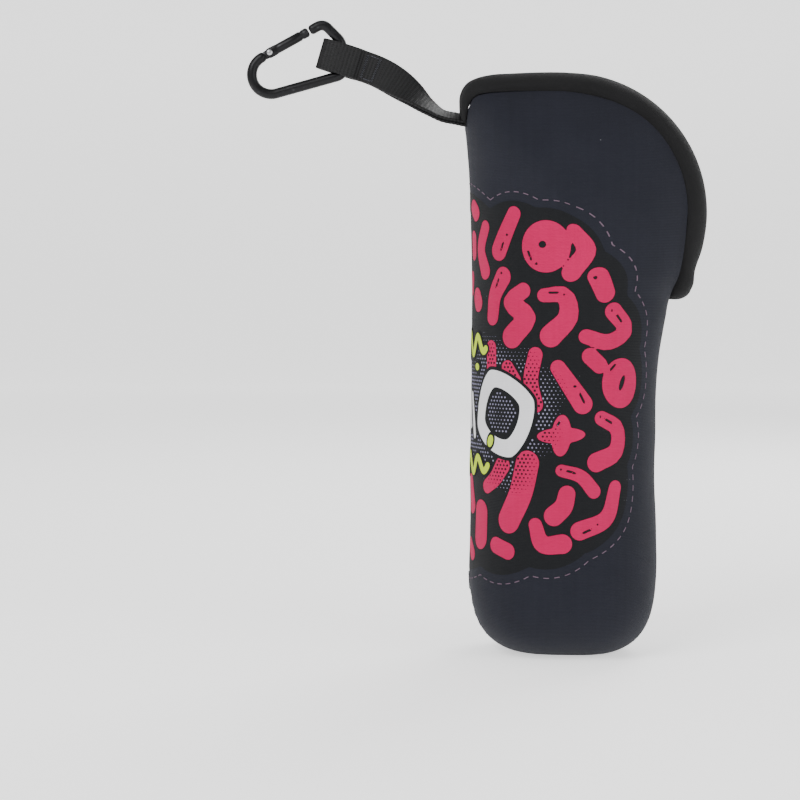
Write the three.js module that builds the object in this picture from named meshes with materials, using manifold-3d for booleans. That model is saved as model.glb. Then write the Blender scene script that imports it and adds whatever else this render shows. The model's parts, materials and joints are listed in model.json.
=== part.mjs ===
// A zip-up neoprene pouch for three pickleballs, with a webbing strap and a small carabiner.
// Millimetres, +Z up. The pouch stands on its base, centred on the origin. The zip runs over the
// top and down the back in the plane y = 0, the strap leaves the front top corner towards -X.

import * as THREE from 'three';
import { mergeVertices } from 'three/addons/utils/BufferGeometryUtils.js';
import Module from 'manifold-3d';

const wasm = await Module();
wasm.setup();

// ---- driving dimensions -------------------------------------------------------------------

const WALL = 3;                  // neoprene laminate
const GAP = 0.3;                 // clearance between neighbouring pieces
const HALF_THICKNESS = 38.5;     // of the filled pouch, across Y
const HALF_WIDTH = 39;           // of the filled pouch, across X
const SPINE_LOW = 40;            // centre of the lowest ball
const SPINE_HIGH = 182;          // centre of the rounded top
const KEEL = 4;                  // how far the unloaded bottom would hang below the base
const BASE_CORNER = 28;          // radius of the bottom corners in side view

const TOP = { x: 0.4, z: SPINE_HIGH, radius: 57.5 };   // the rounded back of the top
const SEAM_RADIUS = 48.5;        // the seam where the gusset meets the side panels
const GUSSET_END = 147.2;        // height of the blunt lower end of the gusset

const ZIP = { x: -3.75, z: 180.4, radius: 56.5 };      // the zip's chain lies on this circle
const CLOSED_AT = 114.5;         // slider position when the pouch is closed, degrees
const OPEN_AT = -14.5;           // slider position when the pouch is open, degrees
const MOUTH_FRONT = 107.4;       // the mouth hinges on the chord between these two angles
const MOUTH_BACK = -7.3;
const GROOVE_END = -29.8;        // the recess between the lips stops here
const GROOVE_START = 122;
const FOLD_HALF_ANGLE = 24;      // the soft fold between panel and mouth, each side of the chord

const GROOVE_HALF = 4.9;         // half width of the recess between the gusset's lips
const TAPE_HALF = 7;
const TAPE = { low: -2.3, high: -1.5 };                // heights from the chain circle
const COIL = { low: -1.2, high: 1.2, inner: 1, outer: 3.2 };

const SLIDER = { halfLength: 4.8, halfWidth: 4.5, plate: 1, post: 0.7, flange: 1 };
const PULL = { length: 14.5, halfWidth: 2.6, thickness: 1.1, arm: 1, lift: 4.5, tilt: 16 };

const STRAP_WIDTH = 12.7;
const STRAP_THICKNESS = 2.6;     // two layers of webbing sewn together
const LAYER = 1.2;
const STRAP_TWIST = 72;          // degrees that the strap turns between its root and the loop
const STRAP_ROUTE = [[-45.2, 221.6], [-50, 222.6], [-56.5, 226.5], [-64, 232.6],
  [-76, 240.2], [-90, 245.2], [-104, 249.4]];

const ROD = 2.1;                 // radius of the carabiner's rod
const NARROW_END = { x: -121.2, z: 239.6, radius: 8 };
const GATE_PIVOT = { x: -121.7, z: 248.5 };
const GATE_LENGTH = 18.2;
const PIVOT_CLEARANCE = 2.4;     // from the gate's pivot to the end of the rod

const NEOPRENE = { color: 0x242632, roughness: 0.85, metalness: 0 };
const BLACK_KNIT = { color: 0x1c1c1e, roughness: 0.9, metalness: 0 };
const WEBBING = { color: 0x17171a, roughness: 0.8, metalness: 0 };
const NYLON = { color: 0x18181a, roughness: 0.5, metalness: 0 };
const THREAD = { color: 0x20212a, roughness: 0.7, metalness: 0 };
const BLACK_METAL = { color: 0x111113, roughness: 0.35, metalness: 0.6 };
const STEEL = { color: 0x9a9a9c, roughness: 0.35, metalness: 1 };

const product = new THREE.Group();
const radians = THREE.MathUtils.degToRad;

// ---- solids -------------------------------------------------------------------------------

/** Turns a closed geometry into a solid that can be joined and cut. */
function solid(geometry) {
  const plain = geometry.clone();
  plain.deleteAttribute('normal');
  plain.deleteAttribute('uv');
  const merged = mergeVertices(plain, 1e-4);
  const corners = merged.index.array;
  const kept = [];
  for (let i = 0; i < corners.length; i += 3) {
    const [a, b, c] = corners.slice(i, i + 3);
    if (a !== b && b !== c && c !== a) kept.push(a, b, c);
  }
  return new wasm.Manifold(new wasm.Mesh({
    numProp: 3,
    vertProperties: new Float32Array(merged.attributes.position.array),
    triVerts: new Uint32Array(kept),
  }));
}

/** Adds a solid to the product as a named mesh. */
function addPiece(name, shape, finish) {
  const mesh = shape.getMesh();
  const geometry = new THREE.BufferGeometry();
  geometry.setAttribute('position', new THREE.BufferAttribute(mesh.vertProperties, 3));
  geometry.setIndex(new THREE.BufferAttribute(mesh.triVerts, 1));
  geometry.computeVertexNormals();
  const piece = new THREE.Mesh(geometry, new THREE.MeshStandardMaterial(finish));
  piece.name = name;
  product.add(piece);
}

/** A side-view shape, x across and z up, extruded from yLow to yHigh. */
function prism(shape, yLow, yHigh, curveSegments = 12) {
  const options = { depth: yHigh - yLow, bevelEnabled: false, curveSegments };
  const geometry = new THREE.ExtrudeGeometry(shape, options);
  geometry.rotateX(Math.PI / 2);
  geometry.translate(0, yHigh, 0);
  return solid(geometry);
}

function polygon(points) {
  return new THREE.Shape(points.map(([x, z]) => new THREE.Vector2(x, z)));
}

/** Part of a ring around the zip's centre, between two angles and two heights from the chain. */
function ringSector(fromAngle, toAngle, low, high) {
  const start = radians(fromAngle);
  const end = radians(toAngle);
  const shape = new THREE.Shape();
  shape.absarc(ZIP.x, ZIP.z, ZIP.radius + high, start, end, false);
  shape.absarc(ZIP.x, ZIP.z, ZIP.radius + low, end, start, true);
  shape.closePath();
  return shape;
}

function sectorPiece(fromAngle, toAngle, low, high, yLow, yHigh) {
  const segments = Math.max(2, Math.ceil((toAngle - fromAngle) / 5));
  return prism(ringSector(fromAngle, toAngle, low, high), yLow, yHigh, segments);
}

function zipPoint(angle, height = 0) {
  const reach = ZIP.radius + height;
  return [ZIP.x + reach * Math.cos(radians(angle)), ZIP.z + reach * Math.sin(radians(angle))];
}

// ---- the pouch's outline and its puffed form ------------------------------------------------

/** The back of the pouch in side view: how far it stands out at height z. */
function backReach(z) {
  const arcStart = 159;
  if (z >= arcStart) return TOP.x + Math.sqrt(TOP.radius ** 2 - (z - TOP.z) ** 2);
  const stations = [[SPINE_LOW, HALF_WIDTH], [84, 38], [126, 40], [146.4, 43], [147.3, 48.6],
    [149.2, 51.6], [152, 52.6], [arcStart, 53.1]];
  const above = stations.findIndex(([level]) => level >= z);
  if (above <= 0) return HALF_WIDTH;
  const [lowZ, lowX] = stations[above - 1];
  const [highZ, highX] = stations[above];
  return THREE.MathUtils.mapLinear(z, lowZ, highZ, lowX, highX);
}

/** The front of the pouch: a little slimmer half-way up. */
function frontReach(z) {
  return -HALF_WIDTH + 0.8 * Math.sin(Math.PI * (z - SPINE_LOW) / (SPINE_HIGH - SPINE_LOW));
}

/** Points of the outline with the spine point that each one faces, once round. */
function outline() {
  const levels = [40, 65, 90, 112, 130, 141, 146.4, 147.3, 149.2, 152, 159, 170, 182];
  const rim = [];
  const face = (x, z) => rim.push({ x, z, spine: THREE.MathUtils.clamp(z, SPINE_LOW, SPINE_HIGH) });
  for (const z of levels) face(backReach(z), z);
  const arcSteps = 10;
  for (let i = 1; i <= arcSteps; i += 1) {
    const angle = (i / arcSteps) * Math.PI / 2;
    face(TOP.x + TOP.radius * Math.cos(angle), TOP.z + TOP.radius * Math.sin(angle));
  }
  const corner = [[-12, 239.4], [-22, 239], [-31.7, 238.5], [-38, 236.8], [-42, 233.5],
    [-43.2, 229], [-43.2, 222], [-41.2, 217.5], [-39.8, 204], [-39.2, 192]];
  for (const [x, z] of corner) face(x, z);
  for (const z of [...levels].reverse()) face(frontReach(z), z);
  const turnSteps = 6;
  const centre = HALF_WIDTH - BASE_CORNER;
  for (const side of [-1, 1]) {
    for (let i = 0; i <= turnSteps; i += 1) {
      const turn = side < 0 ? i / turnSteps : 1 - i / turnSteps;
      const angle = turn * Math.PI / 2;
      const x = side * (centre + BASE_CORNER * Math.cos(angle));
      face(x, BASE_CORNER - KEEL - BASE_CORNER * Math.sin(angle));
    }
    if (side < 0) face(0, -KEEL);
  }
  return rim;
}

/** How square the section is where the outline is at height z: 2 is round, more is fuller. */
function fullness(z) {
  const foot = THREE.MathUtils.smoothstep(z, 5, 60);
  const crown = THREE.MathUtils.smoothstep(z, 150, 205);
  return THREE.MathUtils.lerp(4, 2.1, foot) + 0.5 * crown;
}

/** The puffed form of the outline, shrunk by inset all round. */
function puff(inset) {
  const rings = [0, 0.3, 0.55, 0.74, 0.87, 0.95, 1];
  const rim = outline();
  const positions = [];
  const place = (index, share, side) => {
    const { x, z, spine } = rim[index % rim.length];
    const reach = Math.hypot(x, z - spine);
    const scale = share * (reach - inset) / reach;
    const rise = (1 - share ** fullness(z)) ** 0.5;
    return [x * scale, side * (HALF_THICKNESS - inset) * rise, spine + (z - spine) * scale];
  };
  for (const side of [-1, 1]) {
    for (let i = 0; i < rim.length; i += 1) {
      for (let j = 0; j + 1 < rings.length; j += 1) {
        const a = place(i, rings[j], side);
        const b = place(i, rings[j + 1], side);
        const c = place(i + 1, rings[j + 1], side);
        const d = place(i + 1, rings[j], side);
        const order = side > 0 ? [a, c, b, a, d, c] : [a, b, c, a, c, d];
        positions.push(...order.flat());
      }
    }
  }
  const geometry = new THREE.BufferGeometry();
  geometry.setAttribute('position', new THREE.Float32BufferAttribute(positions, 3));
  return solid(geometry);
}

// ---- the regions that the pouch is cut into -------------------------------------------------

const FAR = 150;
const mouthFront = zipPoint(MOUTH_FRONT);
const mouthBack = zipPoint(MOUTH_BACK);
const mouthTilt = radians((MOUTH_FRONT + MOUTH_BACK) / 2);
const acrossMouth = new THREE.Vector3(Math.cos(mouthTilt), 0, Math.sin(mouthTilt));

/** A prism along the mouth's chord, from points given as (y, height above the chord). */
function alongMouth(points) {
  const across = new THREE.Vector3(0, 1, 0);
  const along = new THREE.Vector3().crossVectors(across, acrossMouth);
  const geometry = new THREE.ExtrudeGeometry(polygon(points), { depth: 2 * FAR, bevelEnabled: false });
  geometry.translate(0, 0, -FAR);
  const placing = new THREE.Matrix4().makeBasis(across, acrossMouth, along);
  placing.setPosition((mouthFront[0] + mouthBack[0]) / 2, 0, (mouthFront[1] + mouthBack[1]) / 2);
  geometry.applyMatrix4(placing);
  return solid(geometry);
}

const foldRise = FAR * Math.tan(radians(FOLD_HALF_ANGLE));
const rootRegion = alongMouth([[-FAR, -foldRise], [0, 0], [FAR, -foldRise], [FAR, -2 * FAR],
  [-FAR, -2 * FAR]]);
const mouthRegion = {
  left: alongMouth([[0, 0], [FAR, foldRise], [FAR, 2 * FAR], [0, 2 * FAR]]),
  right: alongMouth([[0, 0], [0, 2 * FAR], [-FAR, 2 * FAR], [-FAR, foldRise]]),
};
const foldRegion = {
  left: alongMouth([[2 * GAP, 0], [FAR, GAP - foldRise], [FAR, foldRise - GAP]]),
  right: alongMouth([[-2 * GAP, 0], [-FAR, foldRise - GAP], [-FAR, GAP - foldRise]]),
};

/** The gusset's band in side view: over the top, down the back, and the tab at the front corner. */
function gussetBand(grow) {
  const shape = new THREE.Shape();
  const seam = SEAM_RADIUS - grow;
  const tab = { x: -39.4 + grow, z: 217.5 - grow };
  shape.moveTo(-FAR, tab.z);
  shape.lineTo(tab.x, tab.z);
  shape.lineTo(tab.x, TOP.z + seam);
  shape.lineTo(TOP.x, TOP.z + seam);
  shape.absarc(TOP.x, TOP.z, seam, Math.PI / 2, 0, true);
  shape.lineTo(45.2 - grow, GUSSET_END - grow);
  shape.lineTo(FAR, GUSSET_END - grow);
  shape.lineTo(FAR, 2 * FAR);
  shape.lineTo(-FAR, 2 * FAR);
  shape.closePath();
  return prism(shape, -FAR, FAR, 10);
}

const clearOfGround = prism(polygon([[-FAR, 0], [FAR, 0], [FAR, 2 * FAR], [-FAR, 2 * FAR]]), -FAR, FAR);
const outer = puff(0).intersect(clearOfGround);
const inside = prism(polygon([[-FAR, WALL], [FAR, WALL], [FAR, 2 * FAR], [-FAR, 2 * FAR]]), -FAR, FAR);
const shell = outer.subtract(puff(WALL).intersect(inside));
const groove = sectorPiece(GROOVE_END, GROOVE_START, -4.2, 14, -GROOVE_HALF, GROOVE_HALF)
  .add(sectorPiece(GROOVE_END, GROOVE_START, TAPE.low - GAP, TAPE.high + GAP,
    -TAPE_HALF - GAP, TAPE_HALF + GAP));
/** The strip of puffed form between two depths under the surface, along the mid-plane. */
function edgeStrip(low, high, halfWidth, region) {
  return puff(low).subtract(puff(high)).intersect(prism(region, -halfWidth, halfWidth));
}

const SEAM_DEPTH = 1;
const SEAM_HALF = 2.2;
const backSeamRegion = polygon([[10, GAP], [FAR, GAP], [FAR, 145], [10, 145]]);
const frontSeamRegion = polygon([[-FAR, GAP], [-10, GAP], [-10, 34], [-FAR, 34]]);
const channelRegion = polygon([[-FAR, -FAR], [FAR, -FAR], [FAR, GUSSET_END - GAP], [10, GUSSET_END - GAP],
  [10, 34 + GAP], [-FAR, 34 + GAP]]);

// ---- neoprene ------------------------------------------------------------------------------

const panels = shell.subtract(gussetBand(GAP)).subtract(groove);
const band = shell.intersect(gussetBand(0)).subtract(groove);
const frontHalf = prism(polygon([[-FAR, 0], [0, 0], [0, 2 * FAR], [-FAR, 2 * FAR]]), -FAR, FAR);
const rootBand = band.intersect(rootRegion);
addPiece('body_panel',
  panels.intersect(rootRegion).subtract(edgeStrip(-1, SEAM_DEPTH, SEAM_HALF, channelRegion)), NEOPRENE);
addPiece('front_gusset_end', rootBand.intersect(frontHalf), BLACK_KNIT);
addPiece('back_gusset_end', rootBand.subtract(frontHalf), BLACK_KNIT);
for (const side of ['left', 'right']) {
  addPiece(`${side}_fold_panel`, shell.subtract(groove).intersect(foldRegion[side]), NEOPRENE);
  addPiece(`${side}_mouth_panel`, panels.intersect(mouthRegion[side]), NEOPRENE);
  addPiece(`${side}_gusset_strip`, band.intersect(mouthRegion[side]), BLACK_KNIT);
}
addPiece('back_seam', edgeStrip(0.2, 0.7, SEAM_HALF - GAP, backSeamRegion), THREAD);
addPiece('front_base_seam', edgeStrip(0.2, 0.7, SEAM_HALF - GAP, frontSeamRegion), THREAD);

// ---- zip -----------------------------------------------------------------------------------

const STOP_LENGTH = 1.8;                           // degrees of the chain's circle
const SLIDER_HALF_ANGLE = 180 * SLIDER.halfLength / (Math.PI * ZIP.radius);
const topStop = CLOSED_AT + SLIDER_HALF_ANGLE + 0.4;
const bottomStop = OPEN_AT - SLIDER_HALF_ANGLE - 0.4;

/** One side of the chain, y > 0: its coil and the tape under it. */
function halfCoil(fromAngle, toAngle) {
  return sectorPiece(fromAngle, toAngle, COIL.low, COIL.high, COIL.inner, COIL.outer);
}
function halfTape(fromAngle, toAngle) {
  return sectorPiece(fromAngle, toAngle, TAPE.low, TAPE.high, COIL.inner, TAPE_HALF);
}

/** The sewn-down end of the zip: both tapes and coils, joined by the stop. */
function zipEnd(fromAngle, toAngle, stopFrom) {
  const half = halfTape(fromAngle, toAngle)
    .add(sectorPiece(fromAngle, toAngle, TAPE.high - 0.1, COIL.high, COIL.inner, COIL.outer));
  const stop = sectorPiece(stopFrom, stopFrom + STOP_LENGTH, TAPE.low, COIL.high,
    -COIL.outer, COIL.outer);
  return half.add(half.mirror([0, 1, 0])).add(stop);
}

for (const side of ['left', 'right']) {
  const facing = (half) => (side === 'left' ? half : half.mirror([0, 1, 0]));
  const tape = facing(halfTape(MOUTH_BACK - 4, MOUTH_FRONT + 4));
  const coil = facing(halfCoil(MOUTH_BACK - 4, MOUTH_FRONT + 4));
  addPiece(`${side}_zip_tape`, tape.intersect(mouthRegion[side]), BLACK_KNIT);
  addPiece(`${side}_zip_coil`, coil.intersect(mouthRegion[side]), NYLON);
}
addPiece('front_zip_end',
  zipEnd(MOUTH_FRONT - 4, topStop + STOP_LENGTH, topStop).intersect(rootRegion), NYLON);
addPiece('back_zip_end',
  zipEnd(bottomStop, MOUTH_BACK + 4, bottomStop - STOP_LENGTH).intersect(rootRegion), NYLON);

// The slider straddles the chain: two plates joined by a post, with flanges along the top plate.
const from = CLOSED_AT - SLIDER_HALF_ANGLE;
const to = CLOSED_AT + SLIDER_HALF_ANGLE;
const topPlate = COIL.high + GAP;
const lowPlate = TAPE.low - GAP;
const flange = sectorPiece(from, to, TAPE.high + GAP, topPlate + SLIDER.plate,
  SLIDER.halfWidth - SLIDER.flange, SLIDER.halfWidth);
const slider = sectorPiece(from, to, topPlate, topPlate + SLIDER.plate,
  -SLIDER.halfWidth, SLIDER.halfWidth)
  .add(sectorPiece(from, to, lowPlate - SLIDER.plate, lowPlate, -SLIDER.halfWidth, SLIDER.halfWidth))
  .add(sectorPiece(to - 3, to, lowPlate - 0.5, topPlate + 0.5, -SLIDER.post, SLIDER.post))
  .add(flange)
  .add(flange.mirror([0, 1, 0]));
addPiece('slider_body', slider, BLACK_METAL);

/** Side-view points at the slider: along the chain towards its open part, and height above it. */
function atSlider(points, yLow, yHigh) {
  const [x, z] = zipPoint(CLOSED_AT);
  const turn = radians(CLOSED_AT - 90);
  const placed = points.map(([along, height]) => [
    x + along * Math.cos(turn) - height * Math.sin(turn),
    z + along * Math.sin(turn) + height * Math.cos(turn),
  ]);
  return prism(polygon(placed), yLow, yHigh);
}

// The bridge is an arch on the top plate. The pull tab's eye turns under it.
const foot = topPlate + SLIDER.plate + GAP;
addPiece('slider_bridge', atSlider([[-4.4, foot], [-2.6, foot], [-2.2, foot + 2.7], [2.2, foot + 2.7],
  [2.6, foot], [4.4, foot], [4.2, foot + 2.8], [2.8, foot + 4.4], [-2.8, foot + 4.4],
  [-4.2, foot + 2.8]], -1.1, 1.1), BLACK_METAL);
const lean = Math.tan(radians(PULL.tilt));
const halfPull = PULL.thickness / 2;
const halfEyeBar = 0.4;
const pullStrip = (start, end) => [start, end, end, start].map((along, i) => [
  along, PULL.lift - along * lean + (i < 2 ? -halfPull : halfPull)]);
const pullArm = atSlider(pullStrip(-halfEyeBar, 6.2), PULL.halfWidth - PULL.arm, PULL.halfWidth);
addPiece('pull_tab', pullArm
  .add(pullArm.mirror([0, 1, 0]))
  .add(atSlider(pullStrip(-halfEyeBar, halfEyeBar), -PULL.halfWidth, PULL.halfWidth))
  .add(atSlider(pullStrip(5.4, PULL.length), -PULL.halfWidth, PULL.halfWidth)), BLACK_METAL);

// ---- strap ---------------------------------------------------------------------------------

const route = new THREE.CatmullRomCurve3(STRAP_ROUTE.map(([x, z]) => new THREE.Vector3(x, 0, z)));
const strapLength = route.getLength();
const LOOP_START = 45.2;         // along the strap, where the two layers part to make the loop
const BAR_AT = 51.5;             // where the carabiner's bar passes between the layers
const LOOP_TIP = BAR_AT + 11;    // the fold at the far end of the loop
const LOOP_HALF = ROD + GAP + LAYER / 2;

/** The strap's own directions at a distance along it: tangent, width and thickness. */
function strapFrame(distance) {
  const share = THREE.MathUtils.clamp(distance / strapLength, 0, 1);
  const along = route.getTangentAt(share);
  const up = new THREE.Vector3(along.z, 0, -along.x);
  const untwisted = THREE.MathUtils.smoothstep(distance, 4, 40);
  const twist = radians(STRAP_TWIST) * (1 - untwisted);
  const width = up.multiplyScalar(Math.cos(twist)).add(new THREE.Vector3(0, Math.sin(twist), 0));
  return { point: route.getPointAt(share), width, thick: new THREE.Vector3().crossVectors(along, width) };
}

/** A ribbon of webbing along points given as (distance along the strap, offset in thickness). */
function ribbon(points, thickness) {
  const corners = points.map(([distance, offset], i) => {
    const [beforeS, beforeU] = points[Math.max(0, i - 1)];
    const [afterS, afterU] = points[Math.min(points.length - 1, i + 1)];
    const run = Math.hypot(afterS - beforeS, afterU - beforeU);
    const out = [-(afterU - beforeU) / run, (afterS - beforeS) / run];
    return [[1, 1], [1, -1], [-1, -1], [-1, 1]].map(([face, edge]) => {
      const s = distance + out[0] * face * thickness / 2;
      const u = offset + out[1] * face * thickness / 2;
      const { point, width, thick } = strapFrame(s);
      return point.addScaledVector(thick, u).addScaledVector(width, edge * STRAP_WIDTH / 2);
    });
  });
  const positions = [];
  const quad = (a, b, c, d) => [a, b, c, a, c, d].forEach((p) => positions.push(p.x, p.y, p.z));
  for (let i = 0; i + 1 < corners.length; i += 1) {
    for (let k = 0; k < 4; k += 1) {
      quad(corners[i][k], corners[i][(k + 1) % 4], corners[i + 1][(k + 1) % 4], corners[i + 1][k]);
    }
  }
  quad(...corners[0].slice().reverse());
  quad(...corners[corners.length - 1]);
  const geometry = new THREE.BufferGeometry();
  geometry.setAttribute('position', new THREE.Float32BufferAttribute(positions, 3));
  return solid(geometry);
}

const strapStations = Array.from({ length: 13 }, (_, i) => [i * (LOOP_START - 1) / 12, 0]);
addPiece('strap_webbing', ribbon(strapStations, STRAP_THICKNESS), WEBBING);

const leg = [[LOOP_START, 0.9], [BAR_AT - 4, LOOP_HALF], [BAR_AT, LOOP_HALF], [BAR_AT + 3.5, LOOP_HALF],
  [LOOP_TIP - 2.5, 1.5], [LOOP_TIP - 0.6, 0.8]];
const backLeg = leg.map(([distance, offset]) => [distance, -offset]).reverse();
addPiece('strap_loop', ribbon([...leg, [LOOP_TIP, 0], ...backLeg], LAYER), WEBBING);

// The box of stitches that closes the loop lies on the strap as a thin patch of thread.
addPiece('strap_stitching', ribbon([[38, 0], [41, 0], [44, 0]], 0.4)
  .translate([0, -STRAP_THICKNESS / 2 - GAP - 0.2, 0]), THREAD);

// ---- carabiner -----------------------------------------------------------------------------

/** A planar run of lines and arcs as a curve in the plane y = 0. */
class PlanarCurve extends THREE.Curve {
  constructor(path) {
    super();
    this.path = path;
  }

  getPoint(share, target = new THREE.Vector3()) {
    const { x, y } = this.path.getPoint(share);
    return target.set(x, 0, y);
  }
}

/** Rounds the corner at a point of a path: straight to the fillet, round it, and on. */
function corner(path, before, at, after, radius) {
  const into = new THREE.Vector2(...at).sub(new THREE.Vector2(...before)).normalize();
  const outOf = new THREE.Vector2(...after).sub(new THREE.Vector2(...at)).normalize();
  const turn = Math.acos(THREE.MathUtils.clamp(into.dot(outOf), -1, 1));
  const setback = radius * Math.tan(turn / 2);
  const sign = Math.sign(into.x * outOf.y - into.y * outOf.x);
  const start = new THREE.Vector2(...at).addScaledVector(into, -setback);
  const centre = start.clone().addScaledVector(new THREE.Vector2(-into.y, into.x), sign * radius);
  const startAngle = Math.atan2(start.y - centre.y, start.x - centre.x);
  path.lineTo(start.x, start.y);
  path.absarc(centre.x, centre.y, radius, startAngle, startAngle + sign * turn, sign < 0);
}

const gateTurn = radians(28.8);
const gateEnd = (distance) => [GATE_PIVOT.x + distance * Math.cos(gateTurn),
  GATE_PIVOT.z + distance * Math.sin(gateTurn)];
const lowerCorner = [-90.6, 239.8];
const upperCorner = [-92.4, 253.4];
const noseCorner = gateEnd(25.2);
const noseStart = gateEnd(GATE_LENGTH + 0.5);
const lowTurn = radians(17);
const lowStart = [NARROW_END.x + NARROW_END.radius * Math.sin(lowTurn),
  NARROW_END.z - NARROW_END.radius * Math.cos(lowTurn)];

const framePath = new THREE.Path();
framePath.moveTo(...noseStart);
corner(framePath, noseStart, noseCorner, upperCorner, 3.6);
corner(framePath, noseCorner, upperCorner, lowerCorner, 4.5);
corner(framePath, upperCorner, lowerCorner, lowStart, 4.2);
framePath.lineTo(...lowStart);
const narrowStart = lowTurn - Math.PI / 2;
const narrowEnd = gateTurn + Math.PI / 2 - 2 * Math.PI;
framePath.absarc(NARROW_END.x, NARROW_END.z, NARROW_END.radius, narrowStart, narrowEnd, true);
framePath.lineTo(...gateEnd(-PIVOT_CLEARANCE));

const rodSection = new THREE.Shape();
rodSection.absarc(0, 0, ROD, 0, 2 * Math.PI, false);
const frameRod = solid(new THREE.ExtrudeGeometry(rodSection, {
  steps: 44, curveSegments: 5, extrudePath: new PlanarCurve(framePath) }));

/** A round bar along Y at the gate's pivot. */
function pivotBar(radius, halfLength) {
  const bar = new THREE.CylinderGeometry(radius, radius, 2 * halfLength, 16);
  bar.translate(GATE_PIVOT.x, 0, GATE_PIVOT.z);
  return solid(bar);
}

/** A turned piece along the gate, from a profile of [radius, distance from the pivot]. */
function turned(profile) {
  const lathe = new THREE.LatheGeometry(profile.map(([r, d]) => new THREE.Vector2(r, d)), 14);
  lathe.rotateZ(-Math.PI / 2);
  lathe.rotateY(-gateTurn);
  lathe.translate(GATE_PIVOT.x, 0, GATE_PIVOT.z);
  return solid(lathe);
}

/** A flat bar along the gate, between two distances from the pivot. */
function gateBar(start, end, halfHeight, halfThickness) {
  const lift = [-halfHeight * Math.sin(gateTurn), halfHeight * Math.cos(gateTurn)];
  const corners = [[start, -1], [end, -1], [end, 1], [start, 1]].map(([distance, side]) => {
    const [x, z] = gateEnd(distance);
    return [x + side * lift[0], z + side * lift[1]];
  });
  return prism(polygon(corners), -halfThickness, halfThickness);
}

const pinHole = pivotBar(1.1, 5);
const tang = gateBar(-PIVOT_CLEARANCE - 0.8, 0, 1.7, 0.8).add(pivotBar(1.9, 0.8));
addPiece('carabiner_frame', frameRod.add(tang).subtract(pinHole), BLACK_METAL);
addPiece('carabiner_gate', turned([[0, -2], [1.2, -1.8], [2, -0.8], [2, GATE_LENGTH - 0.6],
  [1.5, GATE_LENGTH], [0, GATE_LENGTH]])
  .subtract(gateBar(-3, 2.3, 3, 1.1))
  .subtract(turned([[0, 2], [1.2, 2], [1.2, 11], [0, 11]]))
  .subtract(pinHole), BLACK_METAL);
addPiece('gate_pin', pivotBar(0.8, 2.6), STEEL);
addPiece('gate_spring', turned([[0, 3], [0.85, 3], [0.85, 9.5], [0, 9.5]]), STEEL);

export default product;
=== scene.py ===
"""A zip-up neoprene pouch for three pickleballs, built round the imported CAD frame.

Lengths in this script are millimetres until a mesh is made, which is in metres. The wrap and the
gusset follow the CAD's puffed form at a finer pitch, except at the base, whose outline is this
script's own.
"""

import json
import math

import bpy
import numpy as np
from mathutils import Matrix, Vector, noise


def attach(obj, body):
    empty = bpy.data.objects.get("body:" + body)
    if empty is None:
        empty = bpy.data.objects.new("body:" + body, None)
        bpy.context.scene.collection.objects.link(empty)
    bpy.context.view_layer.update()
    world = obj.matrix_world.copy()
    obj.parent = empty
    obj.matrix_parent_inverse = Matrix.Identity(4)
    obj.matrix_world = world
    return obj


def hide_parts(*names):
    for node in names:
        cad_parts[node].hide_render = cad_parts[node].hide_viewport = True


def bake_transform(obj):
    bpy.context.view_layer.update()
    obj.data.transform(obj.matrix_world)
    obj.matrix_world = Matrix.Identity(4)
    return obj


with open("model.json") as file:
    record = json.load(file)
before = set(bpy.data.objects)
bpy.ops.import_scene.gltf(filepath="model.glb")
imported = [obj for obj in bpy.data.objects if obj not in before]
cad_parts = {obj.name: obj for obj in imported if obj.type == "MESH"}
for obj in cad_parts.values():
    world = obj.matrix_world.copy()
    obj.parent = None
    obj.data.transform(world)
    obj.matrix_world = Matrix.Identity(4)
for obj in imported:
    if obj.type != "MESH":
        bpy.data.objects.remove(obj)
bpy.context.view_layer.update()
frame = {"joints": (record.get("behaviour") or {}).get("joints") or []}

# ---- driving dimensions ----

MM = 0.001
WALL = 3.0                     # neoprene laminate of the wrap
GUSSET_WALL = 2.6
HALF_THICKNESS = 38.5
HALF_WIDTH = 39.0
BASE_DEPTH = 41.5              # the unloaded bottom would hang 1.5 below the floor
BASE_SQUARENESS = 3.2
SPINE_LOW = 40.0
SPINE_HIGH = 182.0
FOLD_RADIUS = 39.0             # the tube's radius, used to unroll the print
LIP_HALF = 4.9                 # half width of the recess between the gusset's lips
LIP_RADIUS = 1.3
RELIEF_WAVES = ((34.0, 0.55), (13.0, 0.16))   # size and height of the filled cloth's unevenness
PUCKER_WIDTH = 3.2
PUCKER_DEPTH = 0.5
PUCKER_PITCH = 4.3

ZIP_CENTRE = (-3.75, 180.4)
ZIP_RADIUS = 56.5
CLOSED_AT = 114.5
CHAIN_START = -19.8            # the coils' lower end, degrees on the zip's circle
CHAIN_END = 119.6              # and their upper end
TAPE_START = -31.0
TAPE_END = 121.5
TEETH_PITCH = 1.35
COIL_RADIUS = 0.36

PRINT_DEPTH = 0.45             # how thick a printed skin is, most of it sunk in the wrap
HANDS = ((1, "left"), (-1, "right"))

STRAP_WIDTH = 12.7
STRAP_TWIST = 72.0
TACK_PLACES = (38.6, 43.6)     # along the strap
TACK_HALF = 4.9                # half the tacks' length, across the strap
TACK_LIFT = 1.36
STRAP_ROUTE = [(-45.2, 221.6), (-50, 222.6), (-56.5, 226.5), (-64, 232.6),
               (-76, 240.2), (-90, 245.2), (-104, 249.4)]

ROD = 2.1
NARROW_END = (-121.2, 239.6, 8.0)
GATE_PIVOT = (-121.7, 248.5)
GATE_TURN = math.radians(28.8)
ARM_FROM = 18.7                # the rod runs from here, past the gate's tip,
NOSE = 25.2                    # round the nose,
ARM_TO = -2.4                  # and back to just short of the pivot, all measured along the gate
UPPER_CORNER = (-92.4, 253.4)
LOWER_CORNER = (-90.6, 239.8)

SLIDER_HALF = 4.8              # half the slider's length

MOUTH_JOINT = next(j for j in frame["joints"] if j["name"] == "left_mouth")

# ---- camera, floor and light ----

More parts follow.
